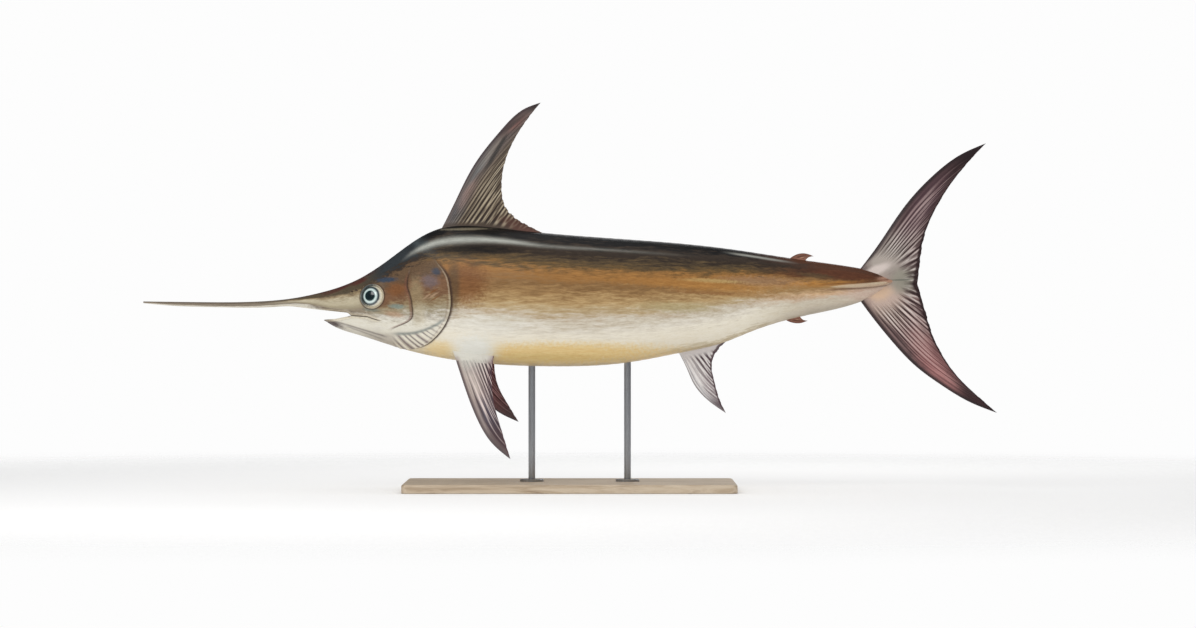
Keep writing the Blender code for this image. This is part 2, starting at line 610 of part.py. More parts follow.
def stand_rod(name, behind):
    """A round rod with a flange at its foot. Its top is cut to the belly."""
    foot = BASE_SIZE[2] + GAP
    top = BILL_LEVEL + float(belly(behind)) + ROD_SINK
    chamfer = 0.0015
    profile = [
        (0.0, foot), (FLANGE_RADIUS, foot), (FLANGE_RADIUS, foot + FLANGE_THICK - chamfer),
        (FLANGE_RADIUS - chamfer, foot + FLANGE_THICK), (ROD_RADIUS, foot + FLANGE_THICK),
        (ROD_RADIUS, top), (0.0, top),
    ]
    turns = (np.arange(ROD_SIDES) + 0.5) * 2 * math.pi / ROD_SIDES
    centre = behind - TOTAL_LENGTH / 2
    points = [(centre, 0.0, foot), (centre, 0.0, top)]
    for radius, height in profile[1:-1]:
        points += [(centre + radius * math.cos(t), radius * math.sin(t), height) for t in turns]
    faces = []
    rings = len(profile) - 2
    for i in range(ROD_SIDES):
        beside = (i + 1) % ROD_SIDES
        faces.append((0, 2 + beside, 2 + i))
        for ring in range(rings - 1):
            here = 2 + ring * ROD_SIDES
            faces.append((here + i, here + beside, here + ROD_SIDES + beside, here + ROD_SIDES + i))
        last = 2 + (rings - 1) * ROD_SIDES
        faces.append((1, last + i, last + beside))
    return cut_clear(add_object(name, points, faces))


def finish_all():
    """Gives every node its material, smooth shading with crisp edges, its own origin and its parent."""
    made = {}
    for name, (colour, roughness, metallic) in MATERIALS.items():
        material = bpy.data.materials.new(name)
        material.use_nodes = True
        shader = material.node_tree.nodes["Principled BSDF"]
        shader.inputs["Base Color"].default_value = (*colour, 1.0)
        shader.inputs["Roughness"].default_value = roughness
        shader.inputs["Metallic"].default_value = metallic
        made[name] = material
    parents = {word: bpy.data.objects.new(word, None) for word in ("swordfish", "stand")}
    for parent in parents.values():
        bpy.context.scene.collection.objects.link(parent)
    for name, finish in FINISHES.items():
        obj = bpy.data.objects[name]
        obj.data.materials.clear()
        obj.data.materials.append(made[finish])
        obj.data.shade_smooth()
        obj.data.set_sharp_from_angle(angle=CREASE)
        corners = np.array(obj.bound_box)
        middle = Vector((corners.min(axis=0) + corners.max(axis=0)) / 2)
        obj.data.transform(Matrix.Translation(-middle))
        obj.location = middle
        obj.parent = parents["stand" if name.startswith("stand_") else "swordfish"]


def main():
    for obj in list(bpy.data.objects):
        bpy.data.objects.remove(obj)
    make_body()
    for word, side in (("left", -1), ("right", 1)):
        gill_cover(f"gill_cover_{word}", side)
        eyeball(f"eye_{word}", side)
        keel(f"keel_{word}", side)
    median_fin("first_dorsal_fin", FIRST_DORSAL)
    median_fin("second_dorsal_fin", SECOND_DORSAL)
    median_fin("first_anal_fin", FIRST_ANAL)
    median_fin("second_anal_fin", SECOND_ANAL)
    median_fin("caudal_fin_upper", CAUDAL_UPPER)
    median_fin("caudal_fin_lower", CAUDAL_LOWER)
    pectoral_fin("pectoral_fin_left", -1, LEFT_SPLAY, 0.0)
    pectoral_fin("pectoral_fin_right", 1, RIGHT_SPLAY, RIGHT_SWEEP)
    stand_base()
    for name, behind in ROD_PLACES.items():
        stand_rod(name, behind)
    finish_all()


main()
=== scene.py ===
"""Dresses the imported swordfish: one fine skin over the whole fish, rayed fins, deep eyes and the stand.

Metres, +Z up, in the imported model's own frame. The fish faces -X, and its left side faces -Y. A place on
the fish is (behind, up): how far behind the tip of the bill, and how high over the bill's own level.
"""

import json
import math

import bpy
import numpy as np
from mathutils import Matrix, Vector

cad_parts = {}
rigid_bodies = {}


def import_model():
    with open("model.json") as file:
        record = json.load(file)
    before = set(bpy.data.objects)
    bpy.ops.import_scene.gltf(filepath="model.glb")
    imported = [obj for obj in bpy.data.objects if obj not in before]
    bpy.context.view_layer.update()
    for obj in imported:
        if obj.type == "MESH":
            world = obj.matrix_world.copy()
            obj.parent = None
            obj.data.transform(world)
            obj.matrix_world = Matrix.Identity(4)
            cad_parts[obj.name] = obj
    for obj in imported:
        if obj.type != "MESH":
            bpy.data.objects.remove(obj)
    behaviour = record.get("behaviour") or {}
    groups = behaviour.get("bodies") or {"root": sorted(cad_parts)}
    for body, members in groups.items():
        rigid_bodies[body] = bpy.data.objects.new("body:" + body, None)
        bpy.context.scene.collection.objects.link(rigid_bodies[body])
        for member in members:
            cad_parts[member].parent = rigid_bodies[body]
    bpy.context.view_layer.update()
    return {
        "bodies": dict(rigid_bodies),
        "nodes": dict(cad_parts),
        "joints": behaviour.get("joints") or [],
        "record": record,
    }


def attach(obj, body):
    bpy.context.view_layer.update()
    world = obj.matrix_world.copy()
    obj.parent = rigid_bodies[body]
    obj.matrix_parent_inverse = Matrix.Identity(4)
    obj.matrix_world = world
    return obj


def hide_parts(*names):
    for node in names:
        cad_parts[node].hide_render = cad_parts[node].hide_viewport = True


TOTAL_LENGTH = 3.0
BILL_LEVEL = 0.667
BODY_END = 2.635

# Side view of the body, and its width, as in the solid model
BACK = (
    (0.0, -0.0045), (0.2, -0.007), (0.42, -0.004), (0.53, 0.007), (0.622, 0.026), (0.762, 0.0765),
    (0.868, 0.1455), (0.973, 0.22), (1.06, 0.256), (1.16, 0.262), (1.32, 0.2455), (1.65, 0.217),
    (2.05, 0.181), (2.308, 0.1425), (2.5, 0.115), (2.56, 0.102), (2.635, 0.073),
)
BELLY = (
    (0.0, -0.0105), (0.1, -0.0195), (0.25, -0.0245), (0.46, -0.024), (0.555, -0.0265), (0.605, -0.048),
    (0.657, -0.084), (0.75, -0.12), (0.9, -0.1675), (1.114, -0.213), (1.43, -0.2325), (1.7, -0.2195),
    (1.886, -0.1855), (2.04, -0.149), (2.13, -0.113), (2.308, -0.0585), (2.5, -0.013), (2.56, 0.012),
    (2.635, 0.062),
)
WIDEST = (
    (0.0, -0.007), (0.2, -0.0158), (0.38, -0.016), (0.5, -0.01), (0.6, -0.008), (0.66, -0.012),
    (0.74, -0.018), (0.82, -0.012), (0.92, 0.002), (1.05, 0.015), (1.3, 0.018), (1.6, 0.008), (1.85, 0.012),
    (2.05, 0.022), (2.25, 0.037), (2.42, 0.046), (2.53, 0.052), (2.635, 0.067),
)
HALF_WIDTH = (
    (0.0, 0.0035), (0.03, 0.0095), (0.1, 0.015), (0.25, 0.021), (0.4, 0.026), (0.52, 0.031), (0.6, 0.037),
    (0.66, 0.045), (0.72, 0.056), (0.8, 0.074), (0.9, 0.099), (1.0, 0.124), (1.1, 0.143), (1.25, 0.155),
    (1.45, 0.155), (1.65, 0.145), (1.85, 0.127), (2.05, 0.1), (2.25, 0.07), (2.4, 0.05), (2.5, 0.038),
    (2.56, 0.028), (2.6, 0.017), (2.635, 0.006),
)
# How full the body's section is over and under its widest place: 1 is an ellipse, and less is fuller
UPPER_POWER = (
    (0.0, 1.0), (0.5, 1.0), (0.8, 0.86), (1.05, 1.05), (1.2, 1.12), (1.45, 1.0), (1.9, 0.95), (2.3, 1.0),
    (2.635, 1.0),
)
LOWER_POWER = (
    (0.0, 1.0), (0.5, 1.0), (0.7, 0.92), (1.0, 0.86), (1.4, 0.84), (1.9, 0.9), (2.3, 1.0), (2.635, 1.0),
)

# Mouth
UPPER_LIP = (
    (0.46, -0.033), (0.5515, -0.025), (0.622, -0.0335), (0.7226, -0.044), (0.7328, -0.0541),
    (0.7897, -0.0579), (0.836, -0.073), (0.9, -0.07), (1.0, -0.035), (1.15, 0.0), (1.3, 0.018),
)
LOWER_LIP = ((0.56, -0.076), (0.632, -0.07), (0.6755, -0.0663), (0.7191, -0.058), (0.7328, -0.0541))
JAW_TIP = 0.6355
MOUTH_CORNER = 0.7328
MOUTH_END = 0.85
LIP_FRONT = (0.6, 0.66)
LIP_HEIGHT, LIP_GROOVE, SHUT_GROOVE = 0.0022, 0.0016, 0.0022
MOUTH_VAULT = 0.007
MOUTH_COLUMNS = 60

# Edge of the cheek plate, and the free edge of the gill cover, from the nape to the throat
CHEEK_EDGE = (
    (0.938, 0.095), (0.932, 0.056), (0.944, 0.01), (0.951, -0.04), (0.942, -0.07), (0.915, -0.085),
    (0.888, -0.096), (0.872, -0.112), (0.874, -0.132),
)
GILL_EDGE = (
    (1.046, 0.123), (1.072, 0.0843), (1.0825, 0.04), (1.086, -0.0063), (1.0775, -0.0562), (1.057, -0.097),
    (1.025, -0.1338), (0.99, -0.158), (0.95, -0.169),
)
# Profiles across those edges, in millimetres: distance past the edge, height, and darkness, the painted
# shade in the groove and under the rolled edge
CHEEK_PROFILE = (
    (-12, 0.7, 0), (-8, 1.0, 0), (-5.5, 1.3, 0), (-4, 1.6, 0), (-3, 1.8, 0), (-2.1, 1.9, 0),
    (-1.4, 1.7, 0.1), (-0.8, 1.0, 0.4), (-0.2, 0.1, 0.8), (0.4, -0.6, 1), (1.1, -0.8, 1), (1.9, -0.6, 0.8),
    (2.9, -0.1, 0.4), (4.2, 0.4, 0.15), (6.5, 0.8, 0), (10, 1.0, 0),
)
# The gill cover's edge rolls over and runs back under itself
GILL_PROFILE = (
    (-14, 5.6, 0), (-10, 5.9, 0), (-7.5, 6.1, 0), (-5.5, 6.2, 0), (-3.8, 6.1, 0), (-2.4, 5.9, 0),
    (-1.3, 5.5, 0), (-0.5, 4.9, 0), (0, 4.1, 0.2), (0.1, 3.2, 0.6), (-0.3, 2.4, 0.9), (-1.2, 1.6, 1),
    (-2.4, 0.9, 1), (-2.2, -0.1, 1), (-0.6, -0.5, 1), (1.4, -0.6, 0.9), (3.6, -0.5, 0.6), (6.2, -0.3, 0.3),
    (9.5, -0.1, 0.1), (14, 0, 0),
)
MILLIMETRE = 1e-3
PROFILE_HEIGHT = 0.8 * MILLIMETRE
ROWS_TO_FOLD = 5  # rows past a profile's highest one that still belong to the plate in front

# Folds of the gill membrane: the way across them, where they start, and their wave
FOLD_SLOPE = (0.64, 0.77)
FOLD_START = (0.95, -0.14)
FOLD_PITCH, FOLD_PERIOD, FOLD_WANDER, FOLD_BOW = 0.0165, 0.052, 1.0, 1.6
FOLD_HEIGHT, CROSSING_DEPTH = 0.0013, 0.0009
# Folds along the lower jaw: start, height there, slope, half height, stretch, depth and darkness, the
# painted shade in the groove
JAW_FOLDS = (
    (0.72, -0.088, 0.3, 0.0035, (0.66, 0.7, 0.84, 0.87), 0.0012, 0.8),
    (0.74, -0.1, 0.36, 0.003, (0.69, 0.73, 0.83, 0.86), 0.0008, 0.6),
)
MUSCLE_PITCH, MUSCLE_HEIGHT = 0.034, 0.00022
BROW_HEIGHT = 0.0018

# Nostrils, each with its size
NOSTRILS = (((0.752, 0.0345), 1.0), ((0.737, 0.03), 0.8))
NOSTRIL_HALF = (0.0052, 0.0033)
NOSTRIL_DEPTH, NOSTRIL_RIM = 0.004, 0.001

# Eye, and the skin round it by the distance from its middle
EYE_PLACE = (0.809, 0.0127)
EYE_RADIUS = 0.042
EYE_DEPTH = 0.024
EYE_SUNK = 0.016
EYE_TURN = math.radians(104)  # how far round the ball goes from its top
PUPIL_PLACE = (-0.0065, 0.002)  # from the middle of the eye, in its own plane
CORNEA_RADIUS, CORNEA_HEIGHT = 0.026, 0.0018
EYE_RIM, RIM_HEIGHT, RIM_HALF_WIDTH = 0.043, 0.0042, 0.0042
SOCKET_WALL, SOCKET_DEPTH = (0.0415, 0.0335), 0.022
MOUND_WIDTH, EYE_REACH = 0.0125, 0.085

# Keel along each side of the tail's root
KEEL_LINE = ((2.25, 0.037), (2.35, 0.042), (2.45, 0.048), (2.55, 0.054), (2.628, 0.064))
KEEL_REACH = (
    (2.3, 0.0), (2.35, 0.0006), (2.4, 0.007), (2.46, 0.017), (2.53, 0.026), (2.58, 0.025), (2.615, 0.01),
    (2.635, 0.0),
)
KEEL_HALF_HEIGHT = 0.0095

# Painted highlight along the back, laid on as a pale band, and its half width
BACK_HIGHLIGHT = (
    (0.9, 0.128), (0.945, 0.163), (0.975, 0.179), (1.04, 0.2015), (1.1, 0.2095), (1.2, 0.211),
    (1.29, 0.2045), (1.4, 0.1905), (1.55, 0.18), (1.9, 0.156),
)
BACK_HIGHLIGHT_HALF_WIDTH = ((0.9, 0.005), (1.0, 0.011), (1.1, 0.0125), (1.3, 0.008), (1.6, 0.005))

# Fins, as outlines in the side view. trailing goes on from the tip to the heel of the last ray
FIRST_DORSAL = dict(
    leading=((1.03, 0.215), (1.089, 0.33), (1.162, 0.473), (1.259, 0.599), (1.3395, 0.672), (1.397, 0.694)),
    trailing=((1.3244, 0.597), (1.274, 0.49), (1.261, 0.4), (1.278, 0.323), (1.34, 0.271), (1.408, 0.234)),
    last_root=(1.36, 0.2), rays=20, rows=170, bias=2.2, root_half=0.0075, edge_half=0.0009, ridge=0.0016,
    notch=0.006, seed=3,
)
SECOND_FIN = dict(rays=4, rows=34, bias=1.2, edge_half=0.0008, ridge=0.0009, notch=0.001)
SECOND_DORSAL = dict(
    SECOND_FIN,
    leading=((2.255, 0.13), (2.278, 0.151), (2.3, 0.162), (2.326, 0.164), (2.356, 0.154)),
    trailing=((2.338, 0.15), (2.328, 0.141)),
    last_root=(2.31, 0.125), root_half=0.004, seed=5,
)
FIRST_ANAL = dict(
    leading=((1.865, -0.155), (1.91, -0.2391), (1.9346, -0.2936), (1.985, -0.352), (2.048, -0.397)),
    trailing=((2.0255, -0.3477), (2.0059, -0.2764), (1.9985, -0.2391), (2.011, -0.19), (2.05, -0.143)),
    last_root=(2.01, -0.125), rays=9, rows=110, bias=1.8, root_half=0.006, edge_half=0.0008, ridge=0.0014,
    notch=0.004, seed=7,
)
SECOND_ANAL = dict(
    SECOND_FIN,
    leading=((2.24, -0.05), (2.262, -0.072), (2.285, -0.08), (2.308, -0.081), (2.335, -0.072)),
    trailing=((2.318, -0.068), (2.308, -0.058)),
    last_root=(2.292, -0.042), root_half=0.0035, seed=9,
)
# The two lobes of the tail fin meet in one line, and are made as one sheet
LOBE = dict(
    last_root=(2.6, 0.0672), rays=12, rows=170, bias=0.7, root_half=0.012, edge_half=0.001, ridge=0.0018,
    notch=0.006,
)
UPPER_LOBE = dict(
    LOBE,
    leading=((2.5, 0.085), (2.583, 0.1945), (2.682, 0.338), (2.781, 0.443), (2.87, 0.51), (2.961, 0.551)),
    trailing=((2.86, 0.437), (2.7745, 0.3), (2.74, 0.201), (2.7315, 0.135), (2.72, 0.0572)),
    seed=11,
)
LOWER_LOBE = dict(
    LOBE,
    leading=(
        (2.5, 0.025), (2.5697, -0.0696), (2.6291, -0.1423), (2.7152, -0.2325), (2.8009, -0.296),
        (2.9, -0.356), (3.0, -0.396),
    ),
    trailing=(
        (2.933, -0.337), (2.8669, -0.2735), (2.8139, -0.201), (2.7745, -0.1215), (2.738, 0.0031),
        (2.72, 0.0572),
    ),
    seed=12,
)
# Where the tail's flesh ends inside its fin
TAIL_STOCK, TAIL_STOCK_REACH = (2.585, 0.067), 0.06
# Pectoral fin in its own plane
PECTORAL = dict(
    leading=((-0.014, 0.055), (0.036, -0.102), (0.0926, -0.2475), (0.1333, -0.314), (0.2022, -0.377)),
    trailing=((0.1709, -0.272), (0.143, -0.169), (0.137, -0.08), (0.145, 0.02)),
    last_root=(0.12, 0.055), rays=10, rows=150, bias=0.9, root_half=0.008, edge_half=0.0009, ridge=0.0015,
    notch=0.004, seed=13,
)
PECTORAL_ROOT = (1.092, -0.19)
PECTORAL_ROOT_ASIDE = 0.082
PECTORAL_BEND = 0.035
LEFT_SPLAY = math.radians(11)
RIGHT_SPLAY = math.radians(43)
RIGHT_SWEEP = math.radians(3)
COLUMNS_PER_RAY = 16
LEAST_HALF = 0.0004  # a fin is at least twice as thick

# Evenly spaced rows of the skin, as start, end and step
SNOUT_ROWS = ((0.0015, 0.5, 0.005), (0.502, 0.728, 0.003))
SNOUT_END, FLANK_START = 0.7285, 1.3
FLANK_ROWS = ((1.307, 2.3, 0.007), (2.303, BODY_END - 0.001, 0.004))
# Rows that follow the head's plates, as shares of the way from one edge to the next
CHEEK_ROWS = np.concatenate([
    np.linspace(0, 0.7, 123, endpoint=False), np.linspace(0.7, 1, 28, endpoint=False),
])
COVER_ROWS, SHOULDER_ROWS = np.linspace(0, 1, 84)[1:-1], np.linspace(0, 1, 52)[1:]
# Columns of the skin's grid: from the back to the lip, and from the lip to the belly
UPPER_COLUMNS = np.concatenate([
    np.linspace(0, 0.34, 24, endpoint=False), np.linspace(0.34, 0.93, 112, endpoint=False),
    1 - 0.07 * (1 - np.linspace(0, 1, 17)) ** 1.7,
])
LOWER_COLUMNS = np.concatenate([
    0.09 * np.linspace(0, 1, 16, endpoint=False) ** 1.7, np.linspace(0.09, 1, 104),
])
HALF_TURN = np.linspace(0, math.pi, 361)

PAINTS = {
    # back
    "slate": (52, 58, 62), "steel": (92, 104, 108), "pitch": (22, 20, 20), "umber": (58, 47, 38),
    "peduncle brown": (98, 58, 38), "dark olive": (88, 72, 50), "olive": (108, 84, 50),
    # the last grey is the painted highlight along the back
    "highlight grey": (178, 180, 172),
    # flank
    "bronze": (138, 104, 64), "ochre": (162, 115, 60), "amber": (184, 130, 64), "rust": (126, 80, 42),
    "clay": (158, 124, 80), "tan": (184, 154, 108), "buff": (190, 169, 132), "sand": (208, 176, 138),
    # belly
    "pewter": (204, 195, 178), "silver": (221, 215, 203), "pearl": (235, 229, 214),
    "ivory": (233, 233, 226), "gold": (233, 208, 150), "straw": (216, 194, 132), "shade": (192, 178, 146),
    "grey shade": (178, 168, 152),
    # head, fins' roots and fine lines
    "brow brown": (104, 80, 56), "cheek brown": (124, 90, 64), "cheek tan": (150, 130, 98),
    "jaw white": (224, 220, 208), "jaw grey": (200, 195, 184), "snout olive": (88, 76, 58),
    "snout pale": (190, 180, 154), "snout tan": (164, 153, 128), "horn": (116, 104, 90),
    "pale horn": (142, 130, 114), "blue": (52, 68, 88), "mauve": (116, 102, 104),
    "red brown": (122, 78, 62), "wine": (86, 40, 36), "sea green": (126, 140, 132),
    "peach": (178, 148, 120), "blush": (206, 184, 168), "line brown": (74, 54, 42),
    "line purple": (78, 62, 64), "fold grey": (128, 136, 132), "fold mauve": (112, 94, 98),
    "rose tan": (188, 146, 124), "dusty tan": (180, 148, 122), "khaki": (176, 164, 120),
    "cream": (216, 204, 178), "mouth red": (118, 84, 78),
}
# Paints from the back, at 0, to the belly, at 1
FLANK_BANDS = (
    (0.0, "pitch"), (0.045, "pitch"), (0.1, "umber"), (0.15, "umber"), (0.2, "dark olive"), (0.25, "olive"),
    (0.31, "ochre"), (0.38, "bronze"), (0.45, "clay"), (0.52, "tan"), (0.58, "buff"), (0.65, "pewter"),
    (0.72, "silver"), (0.8, "pearl"), (0.93, "pearl"), (1.0, "shade"),
)
REAR_BANDS = (
    (0.0, "peduncle brown"), (0.14, "umber"), (0.27, "peduncle brown"), (0.35, "bronze"), (0.43, "amber"),
    (0.52, "clay"), (0.63, "sand"), (0.74, "pewter"), (0.85, "pewter"), (1.0, "grey shade"),
)
HEAD_BANDS = (
    (0.0, "slate"), (0.12, "slate"), (0.17, "umber"), (0.23, "brow brown"), (0.32, "brow brown"),
    (0.4, "cheek brown"), (0.48, "cheek brown"), (0.56, "cheek tan"), (0.62, "snout tan"),
    (0.68, "jaw grey"), (0.75, "jaw white"), (0.82, "jaw white"), (0.9, "jaw grey"), (1.0, "grey shade"),
)
SNOUT_BANDS = (
    (0.0, "wine"), (0.06, "snout olive"), (0.17, "snout olive"), (0.24, "cheek tan"), (0.34, "snout pale"),
    (0.42, "snout pale"), (0.5, "snout tan"), (0.58, "pale horn"), (0.7, "jaw white"), (0.9, "jaw white"),
    (1.0, "jaw grey"),
)
BILL_BANDS = (
    (0.0, "horn"), (0.3, "horn"), (0.55, "pale horn"), (0.8, "horn"), (1.0, "horn"),
)
# Where one stretch's bands pass into the next one's
SNOUT_FROM, HEAD_FROM, REAR_FROM = (0.42, 0.58), (0.75, 0.86), (2.08, 2.36)
# Marks painted over the bands: paint, strength, (behind, up), half size, turn, raggedness
BODY_MARKS = (
    # Painted highlight on the upper flank, in warm amber
    ("amber", 0.7, (1.94, 0.055), (0.34, 0.02), 0.07, 0.5),
    ("ochre", 0.5, (2.08, 0.024), (0.26, 0.015), 0.07, 0.5),
    ("dusty tan", 0.3, (2.17, 0.066), (0.15, 0.02), 0.05, 0.8),
    # Painted highlight on the upper flank, in yellow straw
    ("straw", 0.45, (1.99, 0.068), (0.12, 0.008), 0.05, 0.7),
    ("rust", 0.45, (1.96, 0.026), (0.14, 0.006), 0.05, 0.7),
    ("khaki", 0.45, (1.88, -0.026), (0.16, 0.022), 0.05, 0.6),
    ("ochre", 0.6, (1.68, 0.08), (0.34, 0.026), 0.04, 0.5),
    ("rust", 0.85, (1.135, 0.055), (0.095, 0.085), 0.0, 0.45),
    ("pitch", 0.8, (1.17, 0.176), (0.16, 0.02), 0.0, 0.3),
    ("gold", 0.95, (1.47, -0.185), (0.46, 0.042), 0.0, 0.4),
    ("straw", 0.55, (1.36, -0.205), (0.34, 0.022), 0.0, 0.4),
    ("gold", 0.65, (1.05, -0.172), (0.075, 0.034), 0.15, 0.4),
    ("ivory", 1.0, (1.165, -0.175), (0.09, 0.06), 0.0, 0.3),
    ("ivory", 0.35, (1.22, -0.085), (0.16, 0.045), 0.0, 0.45),
    # Painted highlight: a pale beige line along the first dorsal fin's root
    ("snout tan", 0.45, (1.13, 0.249), (0.1, 0.005), -0.02, 0.35),
    # Painted shadow of the gill cover on the body behind it
    ("dark olive", 0.65, (1.096, 0.055), (0.024, 0.105), 0.0, 0.15),
)
TAIL_MARKS = (
    ("blush", 0.85, (2.6, 0.025), (0.17, 0.04), 0.0, 0.2),
    ("ochre", 0.5, (2.1, 0.024), (0.26, 0.015), 0.07, 0.5),
    ("dusty tan", 0.3, (2.18, 0.066), (0.15, 0.02), 0.05, 0.8),
    ("peduncle brown", 0.95, (2.465, 0.089), (0.175, 0.025), 0.12, 0.2),
    ("dark olive", 0.7, (2.36, 0.086), (0.075, 0.01), 0.1, 0.5),
    ("rose tan", 0.85, (2.612, 0.071), (0.04, 0.013), 0.1, 0.3),
)
HEAD_MARKS = (
    ("peach", 0.8, (0.886, -0.05), (0.042, 0.012), 0.12, 0.3),
    ("rust", 0.9, (0.895, 0.038), (0.04, 0.028), 0.0, 0.35),
    ("cheek tan", 0.9, (0.964, 0.018), (0.03, 0.068), 0.0, 0.35),
    ("snout pale", 0.65, (0.972, -0.05), (0.03, 0.042), 0.0, 0.35),
    ("mauve", 0.8, (1.012, 0.066), (0.034, 0.026), 0.2, 0.45),
    ("blue", 0.95, (0.859, 0.071), (0.042, 0.0105), -0.08, 0.35),
    ("blue", 0.8, (1.034, 0.098), (0.019, 0.015), 0.3, 0.35),
    ("sea green", 0.85, (0.896, -0.022), (0.034, 0.01), 0.05, 0.3),
    # Painted shade on the skin below the eye
    ("sea green", 0.6, (0.806, -0.0335), (0.034, 0.008), 0.12, 0.3),
    ("wine", 0.8, (0.762, 0.064), (0.034, 0.0085), -0.42, 0.12),
    ("wine", 0.6, (0.68, 0.034), (0.06, 0.007), -0.36, 0.12),
    ("line purple", 0.95, (0.658, -0.079), (0.058, 0.013), 0.3, 0.2),
    # Painted shadow along the upper jaw's lower edge
    ("line brown", 0.75, (0.665, -0.033), (0.085, 0.0055), 0.12, 0.4),
    ("steel", 0.75, (0.985, 0.2), (0.11, 0.03), 0.62, 0.3),
    ("rust", 0.75, (1.022, 0.029), (0.022, 0.004), -0.55, 0.25),
    ("peach", 0.7, (1.026, 0.017), (0.024, 0.0035), -0.55, 0.25),
    ("rust", 0.7, (1.03, 0.006), (0.022, 0.0035), -0.55, 0.25),
    ("peach", 0.6, (1.0, 0.012), (0.02, 0.0035), -0.65, 0.25),
)
# Lines along the head's plates: the plate, where past its edge, how soft, the paint and its strength
HEAD_LINES = (
    ("cheek", -0.01, 0.0, 0.004, "red brown", 0.55),
    # Painted shade in the groove at the cheek plate's edge
    ("cheek", -0.003, 0.001, 0.0015, "line brown", 0.6),
    # Painted highlight along the gill cover's rolled edge
    ("gill", -0.0065, -0.0015, 0.0018, "cream", 0.32),
    ("gill", -0.0135, -0.0085, 0.003, "cheek brown", 0.3),
)
# From the pupil's middle outwards: black-teal, silver iris, dark ring, white
EYE_RINGS = (
    (0.0, (6, 22, 26)), (0.31, (8, 32, 36)), (0.355, (30, 62, 64)), (0.385, (180, 202, 197)),
    (0.44, (214, 227, 222)), (0.5, (196, 210, 205)), (0.55, (92, 106, 108)), (0.61, (44, 52, 56)),
    (0.655, (84, 88, 86)), (0.7, (206, 202, 186)), (0.82, (226, 218, 196)), (1.0, (170, 158, 140)),
)
WOOD_RINGS = (
    (0.3, (150, 128, 104)), (0.47, (186, 166, 140)), (0.6, (204, 187, 163)), (0.75, (170, 148, 122)),
)
SKIN_GRAIN, FIN_GRAIN = 95.0, 20.0  # how fine the ragged edge of a mark is
FIN_RAGGED = 0.3

